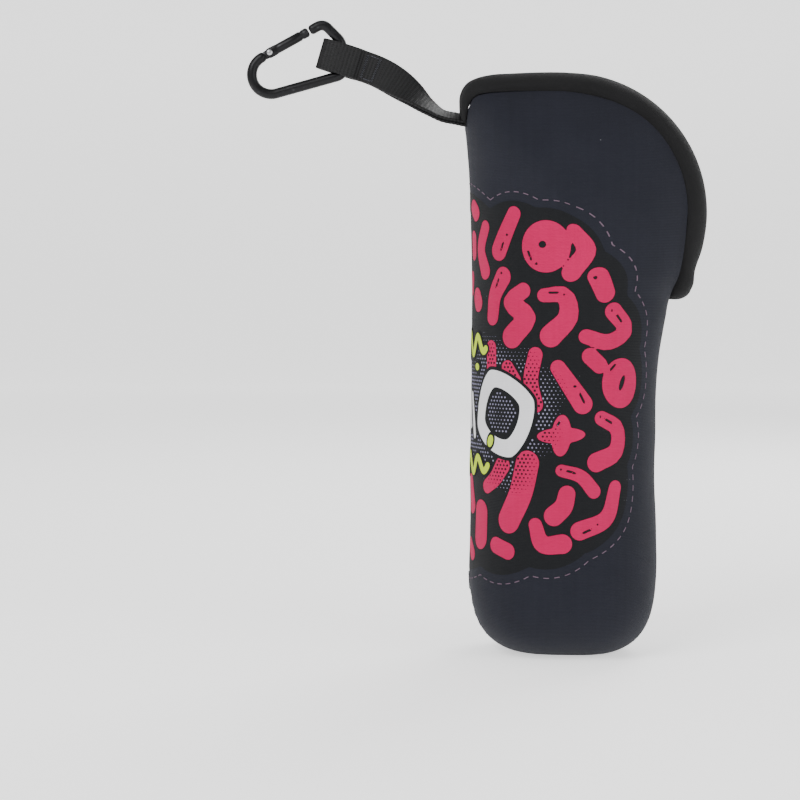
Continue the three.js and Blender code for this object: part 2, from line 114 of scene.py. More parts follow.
CAMERA_DISTANCE = 850.0
CAMERA_RISE = 3.0              # degrees above the horizon
VIEW_CENTRE = (-68.0, 0.0, 105.0)
VIEW_WIDTH = 333.3             # at the pouch


def make_camera():
    data = bpy.data.cameras.new("camera")
    camera = bpy.data.objects.new("camera", data)
    bpy.context.collection.objects.link(camera)
    data.sensor_width = 36.0
    data.lens = 36.0 * CAMERA_DISTANCE / VIEW_WIDTH
    rise = math.radians(CAMERA_RISE)
    target = Vector(VIEW_CENTRE) * MM
    back = Vector((0.0, -math.cos(rise), math.sin(rise))) * CAMERA_DISTANCE * MM
    camera.location = target + back
    camera.rotation_euler = (-back).to_track_quat("-Z", "Y").to_euler()
    bpy.context.scene.camera = camera


def make_light(name, place, aim, size, power):
    data = bpy.data.lights.new(name, "AREA")
    data.size = size
    data.energy = power
    light = bpy.data.objects.new(name, data)
    bpy.context.collection.objects.link(light)
    light.location = place
    light.rotation_euler = (Vector(aim) - Vector(place)).to_track_quat("-Z", "Y").to_euler()


def make_stage():
    size, bend, height = 3.0, 0.6, 2.2
    rows = [(-size, 0.0)]
    for step in range(13):
        angle = math.pi / 2 * step / 12
        rows.append((size - bend + bend * math.sin(angle), bend - bend * math.cos(angle)))
    rows.append((size, height))
    verts = [(x, y, z) for y, z in rows for x in (-size, size)]
    faces = [(2 * i, 2 * i + 1, 2 * i + 3, 2 * i + 2) for i in range(len(rows) - 1)]
    mesh = bpy.data.meshes.new("floor")
    mesh.from_pydata(verts, [], faces)
    mesh.shade_smooth()
    floor = bpy.data.objects.new("floor", mesh)
    bpy.context.collection.objects.link(floor)
    paper = new_material("pale_paper", (0.9, 0.9, 0.9), 0.9)
    shader = paper.node_tree.nodes["Principled BSDF"]
    shader.inputs["Emission Color"].default_value = (1, 1, 1, 1)
    shader.inputs["Emission Strength"].default_value = 0.9
    mesh.materials.append(paper)
    world = bpy.data.worlds.new("soft_sky")
    bpy.context.scene.world = world
    world.use_nodes = True
    world.node_tree.nodes["Background"].inputs["Color"].default_value = (1, 1, 1, 1)
    world.node_tree.nodes["Background"].inputs["Strength"].default_value = 0.6
    make_light("key", (-0.7, -0.9, 0.9), (0, 0, 0.12), 0.7, 13)
    make_light("fill", (0.9, -0.8, 0.5), (0, 0, 0.12), 0.8, 6)
    make_light("rim", (0.5, 0.9, 0.9), (0, 0, 0.15), 0.6, 9)


# ---- curves and meshes ----

def smooth(points):
    """A smooth function through (input, value) points whose inputs rise."""
    xs, ys = np.array(points, float).T
    slopes = np.gradient(ys, xs)

    def at(x):
        i = np.clip(np.searchsorted(xs, x) - 1, 0, len(xs) - 2)
        h = xs[i + 1] - xs[i]
        t = np.clip((x - xs[i]) / h, 0, 1)
        start = (1 + 2 * t) * (1 - t) ** 2 * ys[i] + t * (1 - t) ** 2 * h * slopes[i]
        end = t * t * (3 - 2 * t) * ys[i + 1] + t * t * (t - 1) * h * slopes[i + 1]
        return start + end

    return at


def smoothstep(low, high, x):
    t = np.clip((x - low) / (high - low), 0, 1)
    return t * t * (3 - 2 * t)


def run_along(points):
    """The distance from the first point to each, along the broken line."""
    return np.concatenate([[0], np.cumsum(np.linalg.norm(np.diff(points, axis=0), axis=1))])


def at_run(wanted, run, points):
    """Points, or directions, at the wanted distances along a line."""
    return np.stack([np.interp(wanted, run, axis) for axis in points.T], axis=1)


def normalised(vectors):
    return vectors / np.linalg.norm(vectors, axis=-1, keepdims=True)


def beside(path):
    """Unit vectors to the left of a path in a plane."""
    along = np.gradient(path, axis=0)
    return normalised(np.stack([-along[:, 1], along[:, 0]], axis=1))


def resample(points, count):
    """A smooth curve through the points, as count points at equal spacing."""
    points = np.array(points, float)
    chord = run_along(points)
    fine = np.linspace(0, chord[-1], 40 * len(points))
    dense = np.stack([smooth(list(zip(chord, axis)))(fine) for axis in points.T], axis=1)
    run = run_along(dense)
    return at_run(np.linspace(0, run[-1], count), run, dense)


def make_object(name, verts, faces, material, uv=None, sharp=35, normals=None):
    """A mesh object from millimetre points. uv holds a pair for each vertex."""
    mesh = bpy.data.meshes.new(name)
    mesh.from_pydata((np.asarray(verts) * MM).tolist(), [], [tuple(map(int, f)) for f in faces])
    mesh.validate()
    mesh.shade_smooth()
    if sharp:
        mesh.set_sharp_from_angle(angle=math.radians(sharp))
    if uv is not None:
        corners = np.zeros(len(mesh.loops), dtype=np.int32)
        mesh.loops.foreach_get("vertex_index", corners)
        layer = mesh.uv_layers.new(name="cloth")
        layer.data.foreach_set("uv", np.asarray(uv, float)[corners].ravel())
    if normals is not None:
        mesh.normals_split_custom_set_from_vertices(normals.tolist())
    mesh.materials.append(material)
    piece = bpy.data.objects.new(name, mesh)
    bpy.context.collection.objects.link(piece)
    return piece


def vertex_normals(verts, quads):
    """Area-weighted normals of a quad mesh."""
    corners = verts[quads]
    face = np.cross(corners[:, 2] - corners[:, 0], corners[:, 3] - corners[:, 1])
    total = np.zeros_like(verts)
    for k in range(4):
        np.add.at(total, quads[:, k], face)
    return total / np.maximum(np.linalg.norm(total, axis=1, keepdims=True), 1e-12)


def thicken(outer, inner, faces):
    """A closed shell: the faces outside, the same ones reversed inside, and a rim between.

    Also returns which of the points are in use, in their new order."""
    faces = [[v for i, v in enumerate(face) if v != face[i - 1]] for face in np.asarray(faces, object)]
    used = sorted({int(v) for face in faces for v in face})
    place = {v: i for i, v in enumerate(used)}
    faces = [[place[int(v)] for v in face] for face in faces]
    edges = {(face[i - 1], face[i]) for face in faces for i in range(len(face))}
    count = len(used)
    shell = faces + [[v + count for v in face[::-1]] for face in faces]
    shell += [[b, a, a + count, b + count] for a, b in edges if (b, a) not in edges]
    return np.concatenate([outer[used], inner[used]]), shell, used


def contour(distance, box, pitch):
    """Points and faces of the region where the distance is negative, cut along its edge."""
    low_u, low_v, high_u, high_v = box
    us = np.arange(low_u, high_u + pitch, pitch)
    vs = np.arange(low_v, high_v + pitch, pitch)
    grid = np.stack(np.meshgrid(us, vs, indexing="ij"), axis=-1)
    value = distance(grid)
    inside = value < 0
    count = inside[:-1, :-1] * 1 + inside[1:, :-1] + inside[1:, 1:] + inside[:-1, 1:]
    points, faces, known = [], [], {}

    def number(key, point):
        if key not in known:
            known[key] = len(points)
            points.append(point)
        return known[key]

    for i, j in zip(*np.nonzero(count)):
        corners = [(i, j), (i + 1, j), (i + 1, j + 1), (i, j + 1)]
        face = []
        for a, b in zip(corners, corners[1:] + corners[:1]):
            if inside[a]:
                face.append(number(a, grid[a]))
            if inside[a] != inside[b]:
                share = np.clip(value[a] / (value[a] - value[b]), 0.02, 0.98)
                face.append(number((min(a, b), max(a, b)), grid[a] + (grid[b] - grid[a]) * share))
        faces.append(face)
    return np.array(points), faces


def loft(sections):
    """Points and faces of a tube through the sections, capped at its ends."""
    sections = np.asarray(sections, float)
    rows, size = sections.shape[:2]
    faces = []
    for i in range(rows - 1):
        for k in range(size):
            a, b = i * size + k, i * size + (k + 1) % size
            faces.append([a, b, b + size, a + size])
    faces.append(list(range(size))[::-1])
    faces.append([(rows - 1) * size + k for k in range(size)])
    return sections.reshape(-1, 3), faces


def sweep(path, radius, sides=10, flat=1.0):
    """A thread or rod along a path, its radius one number or one a point; flat narrows it across."""
    path = np.asarray(path, float)
    radius = np.broadcast_to(radius, len(path))
    tangent = normalised(np.gradient(path, axis=0))
    across = np.array([0.0, 1.0, 0.0]) if abs(tangent[0][1]) < 0.9 else np.array([1.0, 0.0, 0.0])
    angles = np.arange(sides) * 2 * math.pi / sides
    sections = []
    for point, along, size in zip(path, tangent, radius):
        across = across - along * across.dot(along)
        across /= np.linalg.norm(across)
        up = np.cross(along, across)
        ring = np.outer(np.cos(angles), across) * flat + np.outer(np.sin(angles), up)
        sections.append(point + size * ring)
    return loft(sections)


def joined(parts):
    """Several (points, faces) as one."""
    verts, faces, start = [], [], 0
    for points, part_faces in parts:
        verts.append(points)
        faces += [[v + start for v in face] for face in part_faces]
        start += len(points)
    return np.concatenate(verts), faces


# ---- the pouch's form ----

back_reach = smooth([(40, 39), (84, 38.1), (126, 39.8), (140, 42), (147.2, 43.4), (151, 45.3),
                     (156, 48.6), (162, 51.6), (170, 54.6), (182, 57.3)])
front_reach = smooth([(40, 39), (110, 38.2), (160, 38.3), (182, 38.6)])
top_reach = smooth([(0, 57.3), (10, 57.9), (45, 57.8), (90, 57.5), (102, 58.5), (111, 61),
                    (119.3, 64.4), (124.9, 66), (130.3, 63.8), (136.4, 57.6), (142, 51.9),
                    (151, 45.4), (165.6, 40.2), (180, 38.6)])
seam_back = smooth([(147.2, 43.4), (148.5, 42.9), (151, 43.4), (156, 45.5), (162, 46.6),
                    (170, 47.6), (182, 48.6)])
seam_top = smooth([(0, 48.6), (45, 48.8), (90, 48.7), (100, 49.7), (110, 52.1), (119, 55.8),
                   (125, 59), (129, 60.5), (133, 58.8), (137, 55.8), (139.1, 54.7)])
FRONT_END_ANGLE = 139.1        # where the gusset ends at the front, seen from the spine's top
BACK_END = 147.2               # and its height at the back


def bottom_reach(angle):
    """From the spine's foot to the outline, by the angle below the horizon in degrees."""
    turn = np.radians(angle)
    across = np.abs(np.cos(turn) / HALF_WIDTH) ** BASE_SQUARENESS
    down = np.abs(np.sin(turn) / BASE_DEPTH) ** BASE_SQUARENESS
    return (across + down) ** (-1 / BASE_SQUARENESS)


def fullness(z):
    """How square the section is where the outline is at height z."""
    return 3.2 - 1.15 * smoothstep(0, 60, z) - 0.15 * smoothstep(160, 200, z)


def rise(share, z):
    return HALF_THICKNESS * np.sqrt(np.maximum(1 - share ** fullness(z), 0))


def surface_y(x, z):
    """Half thickness of the pouch at a place in side view."""
    x, z = np.broadcast_arrays(np.asarray(x, float), np.asarray(z, float))
    mid = np.clip(z, SPINE_LOW, SPINE_HIGH)
    lift = z - mid
    distance = np.hypot(x, lift)
    angle = np.degrees(np.arctan2(np.abs(lift), x))
    side = np.where(x > 0, back_reach(z), front_reach(z))
    reach = np.where(lift > 0, top_reach(angle), np.where(lift < 0, bottom_reach(angle), side))
    edge = mid + np.sign(lift) * reach * np.sin(np.radians(angle))
    return rise(np.minimum(distance / reach, 1), edge)


def front_edge(z):
    """How far the front stands out at height z, above and below the spine as well."""
    angles = np.radians(np.linspace(180, 135, 60))
    reach = top_reach(np.degrees(angles))
    crown = np.interp(z, SPINE_HIGH + reach * np.sin(angles), -reach * np.cos(angles))
    drop = np.clip((SPINE_LOW - z) / BASE_DEPTH, 0, 1)
    foot = HALF_WIDTH * (1 - drop ** BASE_SQUARENESS) ** (1 / BASE_SQUARENESS)
    return np.where(z > SPINE_HIGH, crown, np.where(z < SPINE_LOW, foot, front_reach(z)))


def unrolled(u, z):
    """Points and normals on the wrap, u round from the front fold (towards -Y) and z up."""
    def at(u, z):
        turn = u / FOLD_RADIUS
        share = np.cos(turn)
        x = np.where(share > 0, -share * front_edge(z), -share * back_reach(z))
        return np.stack([x, -np.sign(turn) * surface_y(x, z), z], axis=-1)

    u, z = np.broadcast_arrays(np.asarray(u, float), np.asarray(z, float))
    step = 0.4
    across = at(u + step, z) - at(u - step, z)
    up = at(u, z + step) - at(u, z - step)
    normal = np.cross(across, up)
    normal = normalised(normal)
    points = at(u, z)
    return points + relief(points)[..., None] * normal, normal


def raised(u, z, height):
    """Points on the wrap at unrolled places, raised off it."""
    points, normal = unrolled(u, z)
    return points + normal * height


def relief(points):
    """Soft unevenness of the filled neoprene, in millimetres along the normal."""
    flat = points.reshape(-1, 3)
    wave = np.array([sum(noise.noise(Vector(p) / size) * height for size, height in RELIEF_WAVES)
                     for p in flat])
    return wave.reshape(points.shape[:-1])


def cloth_uv(points):
    """Along the knit: round the tube and up it, in millimetres."""
    x, y, z = points.T
    mid = np.clip(z, SPINE_LOW, SPINE_HIGH)
    back = np.interp(mid, [40, 147, 182], [39, 43.4, 57.8])
    round_front = FOLD_RADIUS * np.arccos(np.clip(-x / (FOLD_RADIUS + 4.5), -1, 1))
    round_back = FOLD_RADIUS * math.pi / 2 + back * np.arcsin(np.clip(x / (back + 1), 0, 1))
    u = np.where(x < 0, round_front, round_back)
    return np.stack([-np.sign(y) * u, z], axis=1)


# ---- the mouth's fold ----

mouth_origin = np.array(MOUTH_JOINT["pos_m"]) / MM
mouth_axis = np.array(MOUTH_JOINT["axis"])
mouth_up = np.cross(mouth_axis, [0.0, 1.0, 0.0])
FOLD_LEAN = 0.6                # the fold starts lower where the pouch is thicker
FOLD_START = -6.0


def fold_measure(points):
    """How far up the mouth a point is: the fold begins at FOLD_START."""
    return (points - mouth_origin) @ mouth_up + FOLD_LEAN * np.abs(points[:, 1])


def ride_mouth(piece):
    """Bakes the piece's placement into its mesh."""
    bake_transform(piece)


# ---- materials ----

def new_material(name, color, roughness, metallic=0.0, sheen=0.0, specular=0.5):
    material = bpy.data.materials.new(name)
    material.use_nodes = True
    shader = material.node_tree.nodes["Principled BSDF"]
    shader.inputs["Base Color"].default_value = (*color, 1)
    shader.inputs["Roughness"].default_value = roughness
    shader.inputs["Metallic"].default_value = metallic
    shader.inputs["Specular IOR Level"].default_value = specular
    shader.inputs["Sheen Weight"].default_value = sheen
    shader.inputs["Sheen Roughness"].default_value = 0.4
    return material


class Nodes:
    """Short calls for a material's nodes."""

    def __init__(self, material):
        self.tree = material.node_tree
        self.shader = self.tree.nodes["Principled BSDF"]

    def add(self, kind, **settings):
        node = self.tree.nodes.new(kind)
        for key, value in settings.items():
            if key in node.inputs:
                node.inputs[key].default_value = value
            else:
                setattr(node, key, value)
        return node

    def link(self, source, target):
        self.tree.links.new(source, target)

    def math(self, operation, a, b=None):
        node = self.add("ShaderNodeMath", operation=operation)
        for slot, value in enumerate((a, b)):
            if value is None:
                continue
            if isinstance(value, (int, float)):
                node.inputs[slot].default_value = value
            else:
                self.link(value, node.inputs[slot])
        return node.outputs[0]

    def mix(self, share, low, high):
        node = self.add("ShaderNodeMix", data_type="RGBA")
        for slot, value in ((0, share), (6, low), (7, high)):
            if isinstance(value, (int, float)):
                node.inputs[slot].default_value = value
            elif isinstance(value, tuple):
                node.inputs[slot].default_value = (*value, 1)
            else:
                self.link(value, node.inputs[slot])
        return node.outputs[2]

    def noise(self, vector, scale, detail=3.0):
        node = self.add("ShaderNodeTexNoise", Scale=scale, Detail=detail)
        self.link(vector, node.inputs["Vector"])
        return node.outputs["Fac"]

    def range(self, value, low, high, to_low=0.0, to_high=1.0):
        limits = {"From Min": low, "From Max": high, "To Min": to_low, "To Max": to_high}
        node = self.add("ShaderNodeMapRange", **limits)
        self.link(value, node.inputs["Value"])
        return node.outputs["Result"]

    def cloth(self):
        """The cloth's coordinates in millimetres, whole and split."""
        uv = self.add("ShaderNodeUVMap", uv_map="cloth").outputs["UV"]
        split = self.add("ShaderNodeSeparateXYZ")
        self.link(uv, split.inputs[0])
        return uv, split.outputs["X"], split.outputs["Y"]

    def bump(self, height, strength, distance, below=None):
        node = self.add("ShaderNodeBump", Strength=strength, Distance=distance)
        self.link(height, node.inputs["Height"])
        if below is not None:
            self.link(below, node.inputs["Normal"])
        return node.outputs["Normal"]


def knit_material(name, color, light, pitch=0.78, depth=0.13, lint=0.5, roughness=0.82):
    """Fine jersey: wales up the cloth, small stitches across, faint mottling, lint and painted groove shade.
    """
    material = new_material(name, color, roughness, sheen=0.02, specular=0.22)
    n = Nodes(material)
    uv, u, v = n.cloth()
    wale_phase = n.math("MULTIPLY", u, 2 * math.pi / pitch)
    wale = n.math("SINE", wale_phase)
    slant = n.math("MULTIPLY", n.math("ABSOLUTE", wale), 1.6)
    course = n.math("SINE", n.math("ADD", n.math("MULTIPLY", v, 2 * math.pi / (pitch * 0.8)), slant))
    height = n.math("ADD", n.math("MULTIPLY", n.math("ABSOLUTE", wale), 0.75),
                    n.math("MULTIPLY", course, 0.25))
    fuzz = n.noise(uv, 2.6, 4.0)
    patch = n.noise(uv, 0.045, 3.0)
    streak_scale = n.add("ShaderNodeMapping")
    streak_scale.inputs["Scale"].default_value = (0.55, 0.02, 1)
    n.link(uv, streak_scale.inputs["Vector"])
    streak = n.noise(streak_scale.outputs[0], 1.0, 3.0)
    tone = n.math("ADD", n.math("MULTIPLY", patch, 0.5),
                  n.math("ADD", n.math("MULTIPLY", fuzz, 0.3), n.math("MULTIPLY", streak, 0.35)))
    shade = n.mix(n.range(tone, 0.38, 0.78), color, light)
    # painted shade: the colour is darkened towards 0.55 of itself where the knit's height is low, in its
    # grooves
    painted_groove_shade = n.math("MULTIPLY", n.range(height, 0.0, 0.8, 0.45, 0.0), 0.6)
    shade = n.mix(painted_groove_shade, shade, tuple(c * 0.55 for c in color))
    speck = n.add("ShaderNodeTexVoronoi", Scale=0.16)
    n.link(uv, speck.inputs["Vector"])
    near = n.range(speck.outputs["Distance"], 0.018, 0.045, lint, 0.0)
    gate = n.math("GREATER_THAN", n.noise(uv, 0.11, 1.0), 0.56)
    shade = n.mix(n.math("MULTIPLY", near, gate), shade, (0.24, 0.24, 0.26))
    n.link(shade, n.shader.inputs["Base Color"])
    n.link(n.range(fuzz, 0.3, 0.7, roughness - 0.08, roughness + 0.08), n.shader.inputs["Roughness"])
    first = n.bump(height, 0.9, depth * MM)
    n.link(n.bump(fuzz, 0.5, 0.08 * MM, first), n.shader.inputs["Normal"])
    return material


def webbing_material():
    """Ribbed webbing: picks across the strap, a slight gloss on the yarn, and painted light and shade on the
    ribs.
    """
    color = (0.003, 0.003, 0.0034)
    material = new_material("black_webbing", color, 0.7, specular=0.25)
    n = Nodes(material)
    uv, along, across = n.cloth()
    rib = n.math("SINE", n.math("MULTIPLY", along, 2 * math.pi / 1.5))
    yarn = n.math("SINE", n.math("ADD", n.math("MULTIPLY", across, 2 * math.pi / 0.9),
                                 n.math("MULTIPLY", rib, 1.4)))
    height = n.math("ADD", n.math("MULTIPLY", rib, 0.6), n.math("MULTIPLY", yarn, 0.4))
    # painted light and shade: the colour follows the weave's height, lighter on the raised yarn and darker
    # in its hollows
    shade = n.mix(n.range(height, -0.7, 0.8), (0.0015, 0.0015, 0.0017), (0.0085, 0.0085, 0.0092))
    n.link(shade, n.shader.inputs["Base Color"])
    n.link(n.range(n.noise(uv, 1.4), 0.3, 0.7, 0.5, 0.75), n.shader.inputs["Roughness"])
    n.link(n.bump(height, 0.8, 0.12 * MM), n.shader.inputs["Normal"])
    return material


def object_noise(n, scale, detail=3.0):
    """Noise over the object's own coordinates, with scale in features for each millimetre."""
    place = n.add("ShaderNodeTexCoord").outputs["Object"]
    return n.noise(place, scale / MM, detail)


def metal_material(name, color, roughness, metallic=1.0):
    """Coated metal, worn a little brighter where it rubs."""
    material = new_material(name, color, roughness, metallic=metallic)
    n = Nodes(material)
    wear = n.range(object_noise(n, 0.35, 6.0), 0.58, 0.72)
    shade = n.mix(n.math("MULTIPLY", wear, 0.35), color, tuple(min(c * 5 + 0.02, 1) for c in color))
    n.link(shade, n.shader.inputs["Base Color"])
    fine = object_noise(n, 3.0, 4.0)
    n.link(n.range(fine, 0.3, 0.7, roughness - 0.07, roughness + 0.12), n.shader.inputs["Roughness"])
    n.link(n.bump(fine, 0.2, 0.02 * MM), n.shader.inputs["Normal"])
    return material


def yarn_material(name, color, light, roughness=0.6):
    """Twisted thread or moulded nylon with a little variation."""
    material = new_material(name, color, roughness, sheen=0.1)
    n = Nodes(material)
    fine = object_noise(n, 1.8, 3.0)
    n.link(n.mix(n.range(fine, 0.35, 0.7), color, light), n.shader.inputs["Base Color"])
    n.link(n.bump(fine, 0.3, 0.03 * MM), n.shader.inputs["Normal"])
    return material


NAVY = (0.0075, 0.0085, 0.0145)
NAVY_LIGHT = (0.0115, 0.0125, 0.0205)
BLACK = (0.0042, 0.0042, 0.0046)
BLACK_LIGHT = (0.008, 0.008, 0.0088)
PINK = (0.44, 0.0, 0.062)
PINK_LIGHT = (0.52, 0.001, 0.082)

navy_knit = knit_material("navy_neoprene", NAVY, NAVY_LIGHT)
black_knit = knit_material("black_gusset_knit", BLACK, BLACK_LIGHT, pitch=0.7, lint=0.6)
tape_knit = knit_material("black_zip_tape", (0.008, 0.008, 0.009), (0.015, 0.015, 0.016), pitch=0.9,
                          depth=0.1, lint=0.3)
print_dark = knit_material("dark_print", (0.0035, 0.004, 0.0052), (0.006, 0.0067, 0.0084), lint=0.3)
print_pink = knit_material("pink_print", PINK, PINK_LIGHT, lint=0.1, roughness=0.75)
print_white = knit_material("white_print", (0.7, 0.7, 0.72), (0.8, 0.8, 0.82), lint=0.0)
print_lime = knit_material("lime_print", (0.45, 0.62, 0.01), (0.55, 0.72, 0.02), lint=0.0)
print_pale = knit_material("pale_print", (0.2, 0.19, 0.3), (0.3, 0.29, 0.4), lint=0.0)
print_dash = knit_material("dull_print", (0.11, 0.07, 0.1), (0.16, 0.11, 0.15), lint=0.0)
webbing = webbing_material()
black_metal = metal_material("black_coated_metal", (0.008, 0.008, 0.009), 0.32, 0.7)
steel = metal_material("plain_steel", (0.42, 0.42, 0.43), 0.3)
nylon = yarn_material("black_nylon", (0.008, 0.008, 0.009), (0.018, 0.018, 0.02), 0.38)
seam_thread = yarn_material("dark_thread", (0.02, 0.021, 0.03), (0.05, 0.052, 0.066))


# ---- the neoprene wrap ----

def wrap_stations():
    """Once round the outline: spine height, direction, reach to the outline and to the seam."""
    stations = []
    side_levels = np.linspace(SPINE_LOW, SPINE_HIGH, 80)
    for z in side_levels:
        share = seam_back(z) / back_reach(z) if z > BACK_END else 1.0
        stations.append((z, (1.0, 0.0), back_reach(z), min(share, 1.0)))
    for angle in np.linspace(0, 180, 76)[1:-1]:
        turn = math.radians(angle)
        share = seam_top(angle) / top_reach(angle) if angle < FRONT_END_ANGLE else 1.0
        stations.append((SPINE_HIGH, (math.cos(turn), math.sin(turn)), top_reach(angle), min(share, 1.0)))
    for z in side_levels[::-1]:
        stations.append((z, (-1.0, 0.0), front_reach(z), 1.0))
    for angle in np.linspace(180, 0, 62)[1:-1]:
        turn = math.radians(angle)
        stations.append((SPINE_LOW, (math.cos(turn), -math.sin(turn)), bottom_reach(angle), 1.0))
    return stations


def wrap_grid(side):
    """Points and quads of one side of the wrap, from the spine out to the rim."""
    stations = wrap_stations()
    levels = np.sin(np.linspace(0, math.pi / 2, 30))
    points = []
    for mid, (cx, cz), reach, share in stations:
        w = levels * share
        edge = mid + cz * reach
        points.append(np.stack([cx * reach * w, side * rise(w, edge), mid + cz * reach * w], axis=1))
    points = np.array(points)
    rows, size = points.shape[:2]
    quads = []
    for i in range(rows):
        below = (i + 1) % rows
        for k in range(size - 1):
            quad = [i * size + k, below * size + k, below * size + k + 1, i * size + k + 1]
            quads.append(quad if side > 0 else quad[::-1])
    return points.reshape(-1, 3), np.array(quads)


def weld(points, quads, tolerance=1e-3):
    """Merges points that lie together."""
    keys = np.round(points / tolerance).astype(np.int64)
    _, first, inverse = np.unique(keys, axis=0, return_index=True, return_inverse=True)
    quads = inverse.reshape(-1)[quads]
    good = [len(set(q)) > 2 for q in quads]
    return points[first], quads[good]


def seam_pucker(points):
    """Small pulls of the cloth where the stitches draw it in."""
    x, y, z = points.T
    to_mid = np.abs(y)
    back = (x > 10) & (z < BACK_END)
    base = z < 26
    near = np.exp(-(to_mid / PUCKER_WIDTH) ** 2) * np.where(back | base, 1.0, 0.0)
    along = np.where(base, np.arctan2(z - SPINE_LOW, x) * 40, z)
    return near * (-PUCKER_DEPTH + 0.12 * np.sin(along * 2 * math.pi / PUCKER_PITCH))


def make_wrap():
    grids = [wrap_grid(side) for side in (-1, 1)]
    shift = len(grids[0][0])
    points = np.concatenate([g[0] for g in grids])
    quads = np.concatenate([grids[0][1], grids[1][1] + shift])
    points, quads = weld(points, quads)
    normals = vertex_normals(points, quads)
    outer = points + normals * (relief(points) + seam_pucker(points))[:, None]
    outer[:, 2] = np.maximum(outer[:, 2], 0.0)
    normals = vertex_normals(outer, quads)
    inner = outer - normals * WALL
    uv = cloth_uv(points)
    measure = fold_measure(points)[quads].mean(axis=1)
    middle = points[quads].mean(axis=1)[:, 1]
    parts = {
        "neoprene_wrap": measure <= FOLD_START - 1,
        "left_mouth_side": (measure > FOLD_START - 1) & (middle > 0),
        "right_mouth_side": (measure > FOLD_START - 1) & (middle < 0),
    }
    for name, chosen in parts.items():
        verts, faces, used = thicken(outer, inner, quads[chosen])
        both = np.concatenate([normals[used], -normals[used]])
        piece = make_object(name, verts, faces, navy_knit, np.concatenate([uv[used]] * 2), normals=both)
        if name == "neoprene_wrap":
            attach(piece, "pouch")
            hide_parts("body_panel")
        else:
            side = 1 if name.startswith("left") else -1
            ride_mouth(piece)
            hand = "left" if side > 0 else "right"
            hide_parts(f"{hand}_mouth_panel", f"{hand}_fold_panel")


# ---- the gusset ----

OUTER_EDGE = [(43.4, 147.2), (46.2, 146.9), (49, 147.4), (51.4, 149.1), (52.6, 152), (53.1, 158)]
OUTER_CORNER = [(-31.7, 238.5), (-37, 237.2), (-40.9, 235.2), (-43, 231.8), (-43.3, 227), (-42.7, 221),
                (-41.2, 217.6)]


def gusset_curves(count):
    """The gusset's outer edge and its seam in side view, from the back end to the front."""
    arc = [(0.4 + 57.5 * math.cos(math.radians(a)), SPINE_HIGH + 57.5 * math.sin(math.radians(a)))
           for a in range(-14, 91, 13)]
    outer = OUTER_EDGE + arc + [(-12, 239.6), (-22, 239.2)] + OUTER_CORNER
    seam = [(seam_back(z), z) for z in (147.2, 148.5, 151, 156, 162, 170)]
    for angle in list(range(0, 130, 8)) + [129, 133, 137, FRONT_END_ANGLE]:
        turn = math.radians(angle)
        seam.append((seam_top(angle) * math.cos(turn), SPINE_HIGH + seam_top(angle) * math.sin(turn)))
    return resample(outer, count), resample(seam, count)


def lip_half(run, total):
    """Half width of the recess at a distance along the gusset: closed and round at both ends."""
    back_margin, front_margin = 11.0, 19.0
    from_back = np.clip((run - back_margin) / 5.0, 0, 1)
    from_front = np.clip((total - front_margin - run) / 5.0, 0, 1)
    return LIP_HALF * np.sqrt(1 - (1 - from_back) ** 2) * np.sqrt(1 - (1 - from_front) ** 2)


def gusset_section(side, edge, seam, out, lip, depth):
    """One section of a gusset strip, round from the seam over the lip and back inside."""
    seam_y = max(float(surface_y(*seam)), 0.25)
    lip = min(lip, 0.6 * seam_y)
    span = edge - seam
    turns = np.linspace(0, math.pi / 2, 16)
    bulge = 0.5 * np.sin(2 * turns) * min(1.0, seam_y / 12)
    across = lip + (seam_y - lip) * np.cos(turns) ** 0.86
    outward = np.sin(turns)[:, None] * span + bulge[:, None] * out
    profile = [(seam + o, y + b) for o, y, b in zip(outward, across, 0.6 * bulge)]
    radius = min(LIP_RADIUS, 0.5 * lip + 0.2)
    for turn in (30, 60, 90):
        t = math.radians(turn)
        profile.append((edge - out * radius * (1 - math.cos(t)), max(lip - radius * math.sin(t), 0.02)))
    profile.append((edge - out * depth, max(lip - radius, 0.02)))
    wall = GUSSET_WALL
    profile.append((edge - out * depth, max(lip - radius, 0.02) + wall * 0.9))
    inner = [(seam + o - out * wall * 0.8 * math.sin(t), max(y - wall * math.cos(t), lip))
             for o, y, t in zip(outward[::-3], across[::-3], turns[::-3])]
    profile += inner[1:]
    return np.array([[p[0], side * y, p[1]] for p, y in profile])


def make_gusset():
    count = 150
    outer, seam = gusset_curves(count)
    run = run_along(outer)
    out = -beside(outer)
    half = lip_half(run, run[-1])
    for side, hand in HANDS:
        sections = []
        for i in range(1, count - 1):
            from_zip = np.hypot(*(outer[i] - np.array(ZIP_CENTRE))) - ZIP_RADIUS
            depth = max(from_zip + 1.4, 2.4) if half[i] > 0.5 else 2.6
            sections.append(gusset_section(side, outer[i], seam[i], out[i], half[i], depth))
        sections = np.array(sections)
        ripple = 0.1 * np.sin(run[1:-1] * 2 * math.pi / 3.1)
        sections[:, 0:3, 1] -= side * (0.35 + ripple)[:, None] * np.array([1.0, 0.5, 0.15])
        verts, faces = loft(sections)
        if side > 0:
            faces = [f[::-1] for f in faces]
        steps = np.linalg.norm(np.diff(sections[:, :20], axis=1), axis=2)
        across = np.concatenate([np.zeros((len(sections), 1)), np.cumsum(steps, axis=1)], axis=1)
        width = np.zeros(sections.shape[:2])
        width[:, :20] = across
        width[:, 20:] = across[:, -1:]
        uv = np.stack([width, np.broadcast_to(run[1:-1, None], width.shape)], axis=-1).reshape(-1, 2)
        piece = make_object(f"{hand}_gusset", verts, faces, black_knit, uv, sharp=50)
        ride_mouth(piece)
        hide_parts(f"{hand}_gusset_strip", "front_gusset_end" if side > 0 else "back_gusset_end")


# ---- the zip ----

